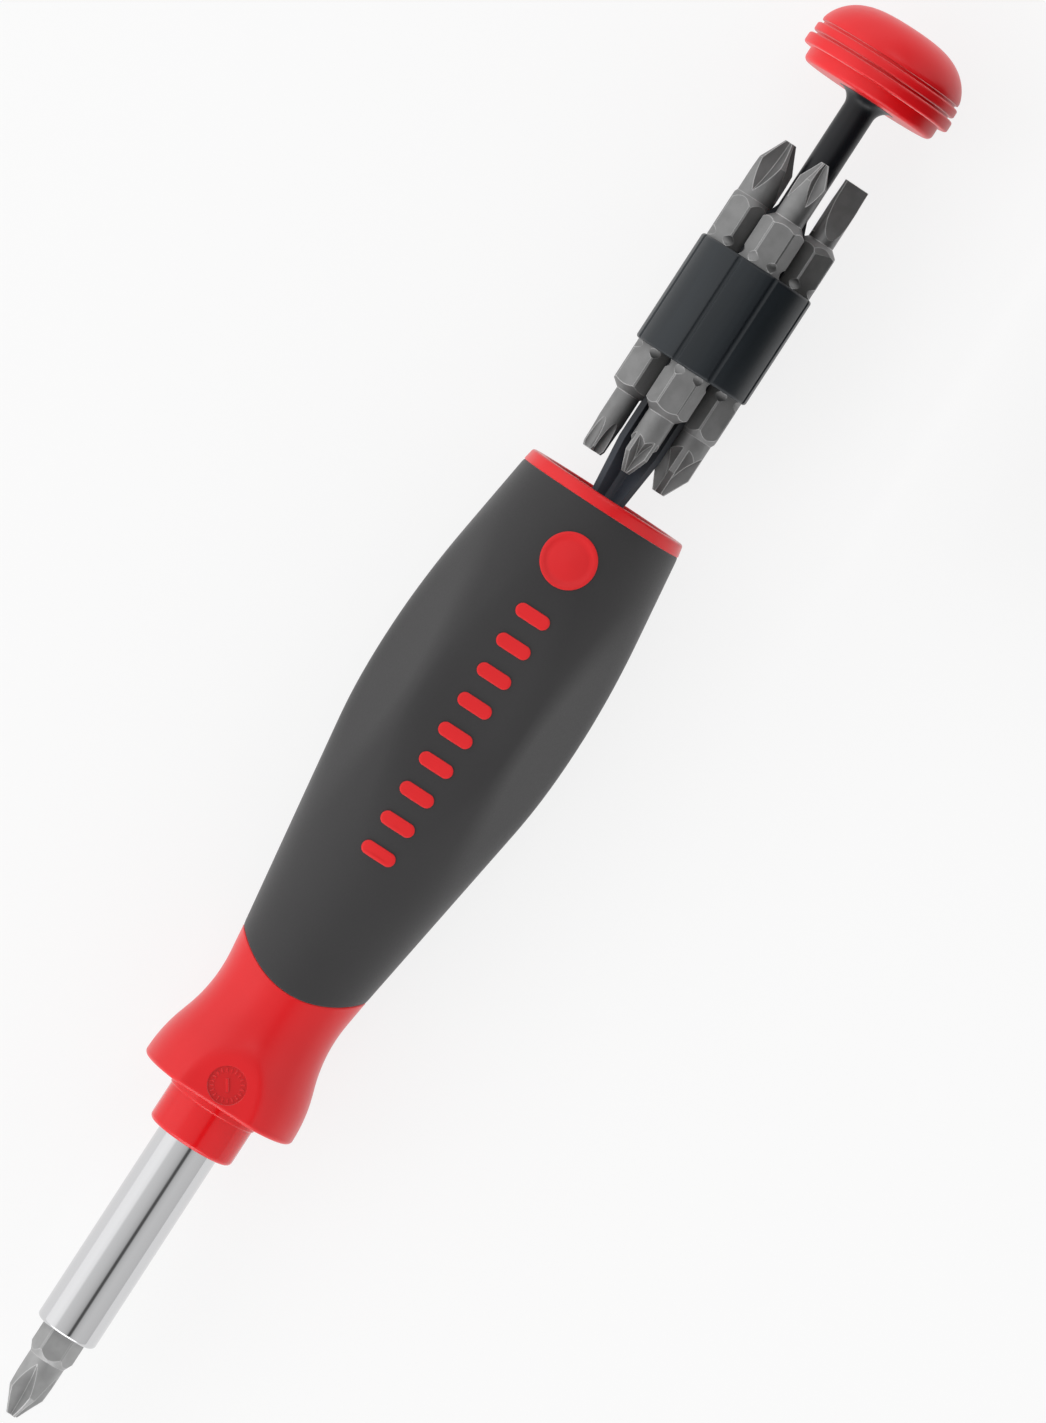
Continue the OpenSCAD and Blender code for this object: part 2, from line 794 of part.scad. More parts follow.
module bit_carrier() {
    color("darkslategray") lay_down() difference() {
        translate([0, 0, carrier_base]) carrier_form();
        translate([0, 0, carrier_base - overrun])
            cylinder(d = rod_neck, h = carrier_length + 2 * overrun);
        for (turn = pocket_turns)
            rotate([0, 0, turn]) translate([0, bit_circle, carrier_base - overrun]) pocket();
        for (turn = pocket_turns, side = [-1, 1])
            rotate([0, 0, turn + side * carrier_line_turn]) carrier_line();
    }
}

// A faint line down the carrier's side, beside each bit
module carrier_line() {
    centre = carrier_diameter / 2 + carrier_line_width - carrier_line_depth;
    translate([0, centre, carrier_base - overrun])
        cylinder(r = carrier_line_width, h = carrier_length + 2 * overrun);
}

module pocket() {
    intersection() {
        hexagon_bar(bit_flats + 2 * bit_clearance, carrier_length + 2 * overrun);
        cylinder(d = bit_corners + 2 * bit_clearance, h = carrier_length + 2 * overrun);
    }
}

module carrier_form() {
    radius = carrier_diameter / 2;
    translate([0, 0, carrier_round]) cylinder(r = radius, h = carrier_length - 2 * carrier_round);
    for (place = [carrier_round, carrier_length - carrier_round])
        translate([0, 0, place]) soft_disc(radius, carrier_round);
}

handle_core();
grip_sleeve();
medallion();
grip_inlays();
nose_collar();
holder_sleeve();
holder_magnet();
holder_ring();
shaft_bit();
magazine_cap();
magazine_rod();
bit_carrier();
bit_left();
bit_front();
bit_right();
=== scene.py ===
# %% [markdown]
# A pocket screwdriver with a pull-out bit magazine.
# The tool lies along X, from the bit tip to the red cap, with the inlaid side of its grip facing up.
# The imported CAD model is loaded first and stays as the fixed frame. The bits, the carrier, the stem and
# the steel shaft keep their CAD shape and get real finishes. The moulded and rubber pieces are modelled
# again here, because their soft edges are what the eye looks for on such a handle.

# %% Load the frame
import math

import bpy
import numpy as np
from mathutils import Matrix, Vector


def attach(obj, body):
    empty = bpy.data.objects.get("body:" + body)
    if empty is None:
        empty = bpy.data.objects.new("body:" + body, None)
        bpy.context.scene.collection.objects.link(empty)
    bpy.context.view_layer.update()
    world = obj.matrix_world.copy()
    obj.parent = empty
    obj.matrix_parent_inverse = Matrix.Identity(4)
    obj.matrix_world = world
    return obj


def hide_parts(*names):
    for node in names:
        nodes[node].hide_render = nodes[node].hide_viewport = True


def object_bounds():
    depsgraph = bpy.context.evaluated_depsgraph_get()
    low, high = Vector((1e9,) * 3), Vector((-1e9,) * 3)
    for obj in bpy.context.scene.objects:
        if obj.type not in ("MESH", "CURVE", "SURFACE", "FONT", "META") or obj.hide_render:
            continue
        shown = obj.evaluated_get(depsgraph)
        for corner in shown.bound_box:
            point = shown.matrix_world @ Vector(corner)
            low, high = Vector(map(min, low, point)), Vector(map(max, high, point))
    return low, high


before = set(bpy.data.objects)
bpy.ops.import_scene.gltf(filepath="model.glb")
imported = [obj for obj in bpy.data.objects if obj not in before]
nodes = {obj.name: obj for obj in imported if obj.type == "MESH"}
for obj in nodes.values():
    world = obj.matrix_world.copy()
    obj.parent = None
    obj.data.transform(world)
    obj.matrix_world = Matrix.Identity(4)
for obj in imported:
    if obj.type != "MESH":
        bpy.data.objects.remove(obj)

cad_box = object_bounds()
mm = 0.001

# %% [markdown]
# The handle's shape is one smooth outline, turned about the axis, with six long facets pressed into it.
# The numbers repeat those of the CAD source, in millimetres. Depths are measured from the rim, and
# places along X from the point where the steel shaft leaves the nose collar.

# %% Sizes of the handle
rim_x = 114.6
band_x = 112.6
rim_radius = 13.3
belly_radius = 16.65
belly_depth = 35.4
rear_arc, rear_run = 150.0, 20.0
front_arc, front_run = 100.0, 14.0
grip_depth = 82.6
grip_end_radius = 10.85
waist_depth = 90.1
waist_radius = 10.1
flange_depth = 106.2
flange_radius = 12.9
nose_x = 7.7
bell_run = (flange_depth - waist_depth) / 2
bell_rise = (flange_radius - waist_radius) / 2
bell_arc = (bell_run ** 2 + bell_rise ** 2) / (2 * bell_rise)
waist_run = (waist_depth - grip_depth) / 2
print("handle:", round(rim_x - nose_x, 1), "mm long, bell arc", round(bell_arc, 1), "mm")

# %% [markdown]
# The half outline runs from the rim over the belly to the grip's end, in at the waist and out again to the
# flange. It could be copied from the CAD mesh, but its loose triangles are hard to round. Worked out again
# from a few arcs, it can be sampled as finely as a smooth highlight needs.

# %% The half outline
arc_samples, bell_samples = 40, 30
belly_gap, bell_gap = 0.3, 0.2
outline_samples, soften_times = 1070, 160


def fall(radius, run):
    """How far an arc falls away from its tangent after a run."""
    return radius - np.sqrt(radius ** 2 - run ** 2)


def sampled_outline():
    """Depths and radii of the handle's half outline, close together."""
    parts = [(np.array([0.0]), np.array([rim_radius]))]
    rear = np.linspace(belly_depth - rear_run, belly_depth, arc_samples)
    parts.append((rear, belly_radius - fall(rear_arc, belly_depth - rear)))
    front = np.linspace(belly_depth + belly_gap, belly_depth + front_run, arc_samples)
    parts.append((front, belly_radius - fall(front_arc, front - belly_depth)))
    parts.append((np.array([grip_depth]), np.array([grip_end_radius])))
    waist = np.linspace(waist_depth - waist_run, waist_depth + bell_run, arc_samples)
    parts.append((waist, waist_radius + fall(bell_arc, waist - waist_depth)))
    bell = np.linspace(flange_depth - bell_run + bell_gap, flange_depth, bell_samples)
    parts.append((bell, flange_radius - fall(bell_arc, flange_depth - bell)))
    parts.append((np.array([rim_x - nose_x]), np.array([flange_radius])))
    depths = np.concatenate([part[0] for part in parts])
    radii = np.concatenate([part[1] for part in parts])
    return depths, radii


outline_depths, outline_radii = sampled_outline()


def soften(values, times):
    """Rounds the corners of an evenly sampled curve, with its ends kept."""
    for _ in range(times):
        middle = (values[:-2] + 2 * values[1:-1] + values[2:]) / 4
        values = np.concatenate([values[:1], middle, values[-1:]])
    return values


even_depths = np.linspace(0, rim_x - nose_x, outline_samples)
even_radii = soften(np.interp(even_depths, outline_depths, outline_radii), soften_times)


def outline_radius(x):
    """Radius of the round outline at a place along X, in millimetres."""
    return np.interp(rim_x - np.asarray(x, float), even_depths, even_radii)


print("handle outline:", len(even_depths), "samples, widest", round(float(even_radii.max()), 2), "mm")

# %% [markdown]
# The facets are six planes along the grip that lean in a little towards the front. The bell flange is
# round, with one flat above and one below. A plain cut would leave sharp lines. A smooth minimum of the
# round radius and the plane's distance gives the soft corners of a moulded grip.

# %% The faceted form
belly_flat = 14.9
facet_lean = math.tan(math.radians(1.2))
flange_flat = 11.35
grip_softness = 0.9
flange_softness = 0.35
no_flat = 99.0
half_facet, full_facet = math.radians(30), math.radians(60)
quarter_turn, half_turn = math.radians(90), math.radians(180)


def smooth_minimum(a, b, width):
    """The smaller of two values, with a soft change from one to the other."""
    share = np.clip(0.5 + 0.5 * (b - a) / width, 0, 1)
    return b + (a - b) * share - width * share * (1 - share)


def form_radius(x, turn):
    """Radius of the faceted handle at a place along X, in the direction turned from the top."""
    round_radius = outline_radius(x)
    off_facet = (np.asarray(turn) + half_facet) % full_facet - half_facet
    depth = rim_x - np.asarray(x, float)
    on_flange = depth > waist_depth
    off_middle = np.abs((np.asarray(turn) + quarter_turn) % half_turn - quarter_turn)
    beside_flange = np.where(off_middle < half_facet, flange_flat, no_flat)
    flat = np.where(on_flange, beside_flange, belly_flat - (depth - belly_depth) * facet_lean)
    width = np.where(on_flange, flange_softness, grip_softness)
    return smooth_minimum(round_radius, flat / np.cos(off_facet), width)


print("over the facets:", round(2 * float(form_radius(rim_x - belly_depth, 0.0)), 2), "mm")

# %% [markdown]
# The rubber ends at the front in a U-shaped edge, above and below. It is an arc seen from above,
# so the edge's place along X depends only on the distance from the middle plane. Rings of points near
# the edge are shifted along X to follow it, on the rubber and on the red core alike, so they meet.
# A Boolean cut could make the edge too, but would leave thin triangles along it, which shade badly.

# %% The U-shaped edge
tongue = 4.4
tongue_radius = (grip_end_radius ** 2 + tongue ** 2) / (2 * tongue)
tongue_centre = rim_x - grip_depth - tongue + tongue_radius
edge_x = 29.8
edge_reach = 13.0
edge_still = 0.8


def edge_place(y):
    """Where the rubber ends along X, at a distance from the middle plane."""
    return tongue_centre - np.sqrt(np.maximum(tongue_radius ** 2 - np.asarray(y) ** 2, 1.0))


def edge_shift(x, y):
    """How far a point near the edge moves along X, so that the edge's ring lies on the U."""
    near = np.clip(1 - (np.abs(x - edge_x) - edge_still) / edge_reach, 0, 1)
    near = near * near * (3 - 2 * near)
    return near * (edge_place(y) - edge_x)


edge_middle = round(float(edge_place(0)), 2)
edge_side = round(float(edge_place(grip_end_radius)), 2)
print("the edge runs from", edge_middle, "to", edge_side, "mm")

# %% [markdown]
# Turned pieces are made as on a lathe: a chain of edges is extruded point by point along half the
# outline, and spin turns it once about the X axis. Doubled points at the seam and on the axis are
# merged, and the normals are turned outwards. A Screw modifier could turn a curve as well. Spin shows
# each step, and it leaves even rings of points, which the facets need next.

# %% Turning a half outline
handle_steps, small_steps = 180, 144
merge_distance = 0.002


def deselect():
    """Leaves edit mode and selects nothing."""
    if bpy.context.object and bpy.context.object.mode != "OBJECT":
        bpy.ops.object.mode_set(mode="OBJECT")
    bpy.ops.object.select_all(action="DESELECT")


def turned_piece(name, outline, steps):
    """A closed piece from its half outline [(x, radius)] in millimetres."""
    deselect()
    x, radius = outline[0]
    bpy.ops.mesh.primitive_plane_add(size=mm, location=(0, 0, 0))
    piece = bpy.context.object
    piece.name = name
    piece.data.name = name
    bpy.ops.object.mode_set(mode="EDIT")
    bpy.ops.mesh.merge(type="CENTER")
    bpy.ops.transform.translate(value=(x * mm, 0, radius * mm))
    for next_x, next_radius in outline[1:]:
        step = ((next_x - x) * mm, 0, (next_radius - radius) * mm)
        bpy.ops.mesh.extrude_region_move(TRANSFORM_OT_translate={"value": step})
        x, radius = next_x, next_radius
    bpy.ops.mesh.select_all(action="SELECT")
    bpy.ops.mesh.spin(steps=steps, angle=2 * math.pi, center=(0, 0, 0), axis=(1, 0, 0))
    bpy.ops.mesh.select_all(action="SELECT")
    bpy.ops.mesh.remove_doubles(threshold=merge_distance * mm)
    bpy.ops.mesh.normals_make_consistent(inside=False)
    bpy.ops.object.mode_set(mode="OBJECT")
    return piece


def pick(piece):
    """Makes a piece the only selected and the active one."""
    deselect()
    piece.select_set(True)
    bpy.context.view_layer.objects.active = piece


def smooth(piece, angle=35):
    """Smooth shading, apart from edges that are sharper than an angle."""
    pick(piece)
    bpy.ops.object.shade_smooth_by_angle(angle=math.radians(angle))


print("rings have", handle_steps, "points on the handle and", small_steps, "on small pieces")

# %% [markdown]
# A moulding has no sharp edge. A Bevel modifier could round the turned mesh afterwards. A few points of an
# arc in the outline do it more evenly, and each edge can have its own radius. The long stretches between
# the edges follow the handle's outline.

# %% Rounded edges and skin
def corner(centre_x, centre_radius, size, start, end, steps=4):
    """Points of a rounded edge, from one angle to another, where 0 points along +X and 90 outwards."""
    angles = np.radians(np.linspace(start, end, steps + 1))
    return [(centre_x + size * math.cos(a), centre_radius + size * math.sin(a)) for a in angles]


def skin(start, end, step, inset=0.0):
    """Points along the round outline between two places, drawn in by an inset."""
    count = max(2, int(abs(end - start) / step))
    return [(x, float(outline_radius(x)) - inset) for x in np.linspace(start, end, count + 1)]


print("a rounded edge has", len(corner(0, 1, 1, 0, 90)), "points by default")

# %% [markdown]
# The turned pieces are still round. Their facets could be cut with planes. Here each point near the outer
# skin is moved onto the faceted form instead and keeps its depth under it, so the wall stays even.

# %% Pressing the facets
def points_of(piece):
    """The x, y and z of all points of a piece, in millimetres."""
    co = np.empty(len(piece.data.vertices) * 3)
    piece.data.vertices.foreach_get("co", co)
    return co.reshape(-1, 3).T / mm


def move_points(piece, x, y, z):
    """Puts all points of a piece at new places, in millimetres."""
    places = np.stack([x, y, z], axis=1) * mm
    piece.data.vertices.foreach_set("co", places.ravel())
    piece.data.update()


def press_facets(piece, deepest=2.5):
    """Lays the points near the outer skin onto the faceted form, and the edge's rings onto the U."""
    x, y, z = points_of(piece)
    radius = np.hypot(y, z)
    turn = np.arctan2(y, z)
    inset = outline_radius(x) - radius
    on_skin = inset < deepest
    shift = edge_shift(x, form_radius(x, turn) * np.sin(turn))
    new_x = np.where(on_skin, x + shift, x)
    new_radius = np.where(on_skin, form_radius(new_x, turn) - inset, radius)
    move_points(piece, new_x, new_radius * np.sin(turn), new_radius * np.cos(turn))
    print(piece.name, "has", len(x), "points,", int(on_skin.sum()), "on the skin")


# %% [markdown]
# The soft grip is a rubber sleeve, 1.6 mm thick, moulded over the core. Its ends are rounded a little,
# so that a fine groove shows where rubber and red nylon meet. It could be the core's skin with a Solidify
# modifier. An outline that goes once round its wall gives it the rounded ends at the same time.

# %% Grip sleeve
grip_wall = 1.6
lip = 0.22
lap = 0.03
past_lip = 0.4
outer_step = 0.9
inner_step, inner_margin = 4.0, 2.0


def sleeve_outline():
    """Once round the sleeve's wall: back edge, outside, front edge, inside."""
    back = band_x - lap
    front = edge_x + lap
    back_radius = float(outline_radius(back))
    front_radius = float(outline_radius(front))
    points = [(back, back_radius - grip_wall)]
    points += corner(back - lip, back_radius - lip, lip, 0, 90)
    points += skin(back - lip - past_lip, front + lip + past_lip, outer_step)
    points += corner(front + lip, front_radius - lip, lip, 90, 180)
    points += [(front, front_radius - grip_wall)]
    points += skin(front + inner_margin, back - inner_margin, inner_step, grip_wall)
    return points + points[:1]


grip = turned_piece("soft_grip_sleeve", sleeve_outline(), handle_steps)
press_facets(grip)
smooth(grip)

# %% [markdown]
# The core is one moulding of red nylon: the rim band, the wall under the rubber, the waist and the bell
# flange, with the stepped bores of the magazine bay inside. Its outline goes once round the whole wall,
# from the floor of the bay out over the rim, along the outside, and back in to the root of the shaft.
# The bores could be cut out later with Booleans, but in one outline their steps stay even rings.

# %% Handle core
guide_radius, guide_x = 4.855, 30.1
well_radius, well_x = 9.84, 45.6
bay_radius, bay_x = 10.2, 63.3
mouth_radius, mouth_x = 11.2, 111.0
root_radius, root_x = 4.7, 23.0
crisp = 0.15
edge_round = 0.5
front_round = 0.8
mouth_round = 0.3
past_crisp, before_round = 0.3, 0.1
waist_step = 0.5
face_radius = 9.0


def core_outline():
    """Once round the core's wall: the bay, the rim, the outside, the root of the shaft."""
    points = [(guide_x, 0.0), (guide_x, guide_radius), (well_x, guide_radius), (well_x, well_radius)]
    points += [(bay_x, well_radius), (bay_x, bay_radius), (mouth_x, bay_radius), (mouth_x, mouth_radius)]
    points += corner(rim_x - mouth_round, mouth_radius + mouth_round, mouth_round, -90, 0)
    points += corner(rim_x - edge_round, rim_radius - edge_round, edge_round, 0, 90, 6)
    band_radius = float(outline_radius(band_x))
    points += corner(band_x + crisp, band_radius - crisp, crisp, 90, 180, 3)
    points += [(band_x, band_radius - grip_wall)]
    points += skin(band_x - inner_margin, edge_x + inner_margin, inner_step, grip_wall)
    front_radius = float(outline_radius(edge_x))
    points += [(edge_x, front_radius - grip_wall)]
    points += corner(edge_x - crisp, front_radius - crisp, crisp, 0, 90, 3)
    points += skin(edge_x - crisp - past_crisp, nose_x + front_round + before_round, waist_step)
    points += corner(nose_x + front_round, flange_radius - front_round, front_round, 90, 180, 8)
    points += [(nose_x, face_radius), (nose_x, root_radius), (root_x, root_radius), (root_x, 0.0)]
    return points


core = turned_piece("red_handle_core", core_outline(), handle_steps)
press_facets(core)

# %% [markdown]
# The flange carries a round mould mark in its top flat, as many mouldings do: a shallow sunken disc with
# a ring of short ticks and a pointer, all raised from its floor. A low cylinder is cut out of the core.
# The ticks and the pointer are small blocks, joined to one object and added to the core's mesh. A bump
# could draw the mark as well, but only real edges catch the light from every side.

# %% Mould mark
mark_x = 11.45
mark_radius = 2.95
mark_depth = 0.32
mark_steps = 128
mark_turn = math.radians(33)
tick_count = 20
tick_place, tick_length, tick_width, tick_height = 2.3, 0.6, 0.22, 0.14
pointer_length, pointer_width, pointer_height = 2.0, 0.42, 0.24
mark_floor = flange_flat - mark_depth


def combine(piece, tool, operation):
    """Cuts a tool out of a piece or adds it, and removes the tool."""
    pick(piece)
    step = piece.modifiers.new("combine", "BOOLEAN")
    step.operation = operation
    step.solver = "EXACT"
    step.object = tool
    bpy.ops.object.modifier_apply(modifier=step.name)
    bpy.data.objects.remove(tool)


def mark_block(away, turn, length, width, height):
    """A small block on the mark's floor, at a distance from its middle and in a direction."""
    deselect()
    spot = ((mark_x + away * math.cos(turn)) * mm, away * math.sin(turn) * mm, mark_floor * mm)
    bpy.ops.mesh.primitive_cube_add(size=1.0, location=spot, rotation=(0, 0, turn))
    block = bpy.context.object
    block.scale = (length * mm, width * mm, 2 * height * mm)
    bpy.ops.object.transform_apply(location=True, rotation=True, scale=True)
    return block


def press_mark(piece):
    """Sinks the disc into the flange, and sets the ticks and the pointer on its floor."""
    deselect()
    above = 1.0
    middle_z = mark_floor + above
    spot = (mark_x * mm, 0, middle_z * mm)
    bpy.ops.mesh.primitive_cylinder_add(
        vertices=mark_steps, radius=mark_radius * mm, depth=2 * above * mm, location=spot
    )
    combine(piece, bpy.context.object, "DIFFERENCE")
    turns = [mark_turn + 2 * math.pi * number / tick_count for number in range(tick_count)]
    blocks = [mark_block(tick_place, turn, tick_length, tick_width, tick_height) for turn in turns]
    blocks.append(mark_block(0.0, mark_turn, pointer_length, pointer_width, pointer_height))
    deselect()
    for block in blocks:
        block.select_set(True)
    bpy.context.view_layer.objects.active = blocks[0]
    bpy.ops.object.join()
    combine(piece, blocks[0], "UNION")
    print(piece.name, "with its mark has", len(piece.data.polygons), "faces")


press_mark(core)
smooth(core)

# %% [markdown]
# The nose collar is a short glossy ring between the flange and the shaft, with a rounded front edge and
# a narrow raised ring where it stands on the flange. A bevelled cylinder would need a second piece for
# that ring, so the collar is turned like the core.

# %% Nose collar
collar_radius, collar_round = 7.1, 0.9
shaft_radius, shaft_gap = 5.0, 0.1
ring_foot, ring_length = 1.5, 1.15
ring_rise, ring_round = 0.23, 0.3


def collar_outline():
    """Once round the collar's wall: the bore, the rounded front, the outside, the raised ring."""
    points = [(nose_x, root_radius), (0.0, root_radius)]
    points += [(0.0, shaft_radius), (0.0, shaft_radius + shaft_gap)]
    points += corner(collar_round, collar_radius - collar_round, collar_round, 180, 90, 8)
    points += [(nose_x - ring_foot, collar_radius)]
    ring_centre = collar_radius + ring_rise - ring_round
    points += corner(nose_x - ring_length, ring_centre, ring_round, 165, 90, 5)
    return points + [(nose_x, collar_radius + ring_rise), (nose_x, root_radius)]


collar = turned_piece("gloss_nose_collar", collar_outline(), small_steps)
smooth(collar)
print("collar:", len(collar.data.polygons), "faces")

# %% [markdown]
# The cap is a mushroom button with a soft dome, two grip ribs with fine grooves between them, and a plug
# that enters the rim. Stacked discs would leave seams, so all of it is one turned form. The seat, under
# the lower rib, is where it meets the rim when the magazine is closed.

# %% Magazine cap
seat_x = 186.8
dome_radius, dome_height = 12.0, 6.1
dome_side_power, dome_crown_power = 0.62, 1.25
dome_foot_inset, dome_lip_inset, dome_lip = 0.35, 0.1, 0.08
lower_rib, lower_rib_height, lower_rib_round = 12.525, 1.8, 0.4
upper_rib, upper_rib_height, upper_rib_round = 12.25, 1.4, 0.35
groove_radius, groove_height = 11.5, 0.45
plug_radius, plug_length, plug_round = 11.15, 2.3, 0.9
stem_radius, stem_socket = 2.525, 4.5
seat_gap = 0.02
dome_steps = 24


def dome_points(base):
    """Half outline of the dome: a steep round side that turns into a low crown."""
    turns = np.radians(np.linspace(0, 90, dome_steps + 1))
    across = dome_radius * np.cos(turns) ** dome_side_power
    up = dome_height * np.sin(turns) ** dome_crown_power
    return [(base + float(u), float(a)) for u, a in zip(up, across)]


def rib_points(base, top, radius, edge):
    """Half outline of a rib with rounded edges, from its base to its top."""
    lower = corner(base + edge, radius - edge, edge, 180, 90, 5)
    upper = corner(top - edge, radius - edge, edge, 90, 0, 5)
    return lower + upper


def cap_outline():
    """From the stem's socket over the plug, the ribs and the grooves to the top of the dome."""
    plug_x = seat_x - plug_length
    lower_top = seat_x + lower_rib_height
    upper_base = lower_top + groove_height
    upper_top = upper_base + upper_rib_height
    dome_base = upper_top + groove_height
    points = [(plug_x + stem_socket, 0.0), (plug_x + stem_socket, stem_radius), (plug_x, stem_radius)]
    points += corner(plug_x + plug_round, plug_radius - plug_round, plug_round, 180, 90, 8)
    points += [(seat_x - seat_gap, plug_radius)]
    points += rib_points(seat_x, lower_top, lower_rib, lower_rib_round)
    points += [(lower_top, groove_radius), (upper_base, groove_radius)]
    points += rib_points(upper_base, upper_top, upper_rib, upper_rib_round)
    points += [(upper_top, groove_radius), (dome_base, groove_radius)]
    points += [(dome_base, dome_radius - dome_foot_inset)]
    points += [(dome_base + dome_lip, dome_radius - dome_lip_inset)]
    dome = dome_points(dome_base)
    return points + dome[2:-1] + [(dome[-1][0], 0.0)]


cap = turned_piece("red_magazine_cap", cap_outline(), small_steps)
smooth(cap)
cap_top = points_of(cap)[0].max()
print("cap:", len(cap.data.polygons), "faces, top at", round(float(cap_top), 2), "mm")

# %% [markdown]
# Red inlays are let into the rubber of the top facet: one round medallion with a raised rim, and a row of
# bars with round ends. They could be modelled in place, on the leaning facet. It is easier to model each
# of them flat on a plane and then to drop it onto the form. Its underside stays in the rubber, and its face
# stands a little proud.

# %% Flat inlays
inlay_thickness, inlay_sink = 1.4, 0.5
inlay_bevel = 0.06
looks_up = 0.9
drop_rounds = 6


def low_cylinder(radius, steps):
    """A low cylinder about the origin, most of it below the plane."""
    deselect()
    spot = (0, 0, -inlay_sink * mm)
    bpy.ops.mesh.primitive_cylinder_add(
        vertices=steps, radius=radius * mm, depth=inlay_thickness * mm, location=spot
    )
    bpy.ops.object.transform_apply(location=True)
    return bpy.context.object


def select_top(piece):
    """Opens a piece in edit mode with only the faces selected that look up."""
    bpy.ops.object.mode_set(mode="EDIT")
    bpy.ops.mesh.select_mode(type="FACE")
    bpy.ops.mesh.select_all(action="DESELECT")
    bpy.ops.object.mode_set(mode="OBJECT")
    for face in piece.data.polygons:
        face.select = face.normal.z > looks_up
    bpy.ops.object.mode_set(mode="EDIT")


def soften_edges(piece, segments, angle):
    """Leaves edit mode and bevels the edges that are sharper than an angle."""
    bpy.ops.object.mode_set(mode="OBJECT")
    bevel = piece.modifiers.new("soft edges", "BEVEL")
    bevel.width = inlay_bevel * mm
    bevel.segments = segments
    bevel.angle_limit = math.radians(angle)
    bpy.ops.object.modifier_apply(modifier=bevel.name)


def drop_on_grip(piece, centre_x):
    """Moves a flat piece, modelled about the origin, to its place along X and up onto the form."""
    x, y, z = points_of(piece)
    x = x + centre_x
    height = np.full(len(x), belly_flat)
    for _ in range(drop_rounds):
        turn = np.arctan2(y, height)
        height = np.sqrt(np.maximum(form_radius(x, turn) ** 2 - y ** 2, 1.0))
    move_points(piece, x, y, height + z)


print("inlay edges stand", round(inlay_thickness / 2 - inlay_sink, 2), "mm proud of the rubber")

# %% [markdown]
# The medallion is a low disc. Its face is inset step by step: a narrow edge, a flat rim, a slope down, and
# a middle that rises again to a slight crown. A Boolean cut could sink the middle too, but insets keep the
# rings round and even.

# %% Medallion
medallion_x = 103.9
medallion_radius, medallion_steps = 4.3, 96
rim_edge, rim_width, rim_slope = 0.12, 0.5, 0.15
dish_depth, dish_ring, dish_rings = 0.12, 0.75, 4
crown_rise = 0.05


def make_medallion():
    """The disc with its raised rim and crowned middle, flat on the plane."""
    piece = low_cylinder(medallion_radius, medallion_steps)
    piece.name = "plain_medallion"
    select_top(piece)
    for inset in (rim_edge, rim_width, rim_slope):
        bpy.ops.mesh.inset(thickness=inset * mm)
    bpy.ops.transform.translate(value=(0, 0, -dish_depth * mm))
    for _ in range(dish_rings):
        bpy.ops.mesh.inset(thickness=dish_ring * mm)
    bpy.ops.transform.translate(value=(0, 0, crown_rise * mm))
    bpy.ops.mesh.poke()
    soften_edges(piece, 3, 40)
    return piece


medallion = make_medallion()
drop_on_grip(medallion, medallion_x)
smooth(medallion, 50)
print("medallion:", len(medallion.data.polygons), "faces")

# %% [markdown]
# The bars repeat, so one is modelled and copied. It starts as a low cylinder whose two halves are pulled
# apart, which makes a slot shape, and its upper edge is bevelled. A stretched cube would need its ends
# rounded by hand.

# %% Inlay bars
bar_length, bar_width, bar_steps = 5.6, 2.2, 40
bar_edge, bar_rise, bar_face = 0.14, 0.05, 0.35
bar_pitch, bar_count = 5.2, 9
first_bar_depth = 20.4
beside_middle = 0.001


def make_bar():
    """One bar with round ends, flat on the plane and lying along Y."""
    piece = low_cylinder(bar_width / 2, bar_steps)
    for side in (-1, 1):
        bpy.ops.object.mode_set(mode="EDIT")
        bpy.ops.mesh.select_mode(type="VERT")
        bpy.ops.mesh.select_all(action="DESELECT")
        bpy.ops.object.mode_set(mode="OBJECT")
        for vertex in piece.data.vertices:
            vertex.select = vertex.co.y * side > beside_middle * mm
        bpy.ops.object.mode_set(mode="EDIT")
        bpy.ops.transform.translate(value=(0, side * (bar_length - bar_width) / 2 * mm, 0))
    select_top(piece)
    bpy.ops.mesh.inset(thickness=bar_edge * mm)
    bpy.ops.transform.translate(value=(0, 0, bar_rise * mm))
    bpy.ops.mesh.inset(thickness=bar_face * mm)
    soften_edges(piece, 2, 30)
    return piece


def make_bars():
    """The whole row of bars on the grip, as one object."""
    first = make_bar()
    bars = [first]
    for _ in range(1, bar_count):
        other = first.copy()
        other.data = first.data.copy()
        bpy.context.scene.collection.objects.link(other)
        bars.append(other)
    for number, bar in enumerate(bars):
        drop_on_grip(bar, rim_x - first_bar_depth - number * bar_pitch)
    deselect()
    for bar in bars:
        bar.select_set(True)
    bpy.context.view_layer.objects.active = first
    bpy.ops.object.join()
    first.name = "plain_inlay_bars"
    return first


bars = make_bars()
smooth(bars, 50)
print("bars:", len(bars.data.polygons), "faces")

# %% [markdown]
# Finishes are node materials. They could be image textures, but those need a UV map and show their pixels
# up close. A small class wraps a socket, so that shader maths reads as plain sums.

# %% Shader maths
class Value:
    """A number that changes over the surface, as an output socket."""

    def __init__(self, finish, socket):
        self.finish = finish
        self.socket = socket

    def maths(self, operation, first, second):
        """A Math node on two values or numbers."""
        return self.finish.node("ShaderNodeMath", {"operation": operation}, {0: first, 1: second})

    def __add__(self, other):
        return self.maths("ADD", self, other)

    def __radd__(self, other):
        return self.maths("ADD", other, self)

    def __sub__(self, other):
        return self.maths("SUBTRACT", self, other)

    def __rsub__(self, other):
        return self.maths("SUBTRACT", other, self)

    def __mul__(self, other):
        return self.maths("MULTIPLY", self, other)

    def __rmul__(self, other):
        return self.maths("MULTIPLY", other, self)

    def __gt__(self, other):
        return self.maths("GREATER_THAN", self, other)


print("shader maths is ready:", Value.__name__)

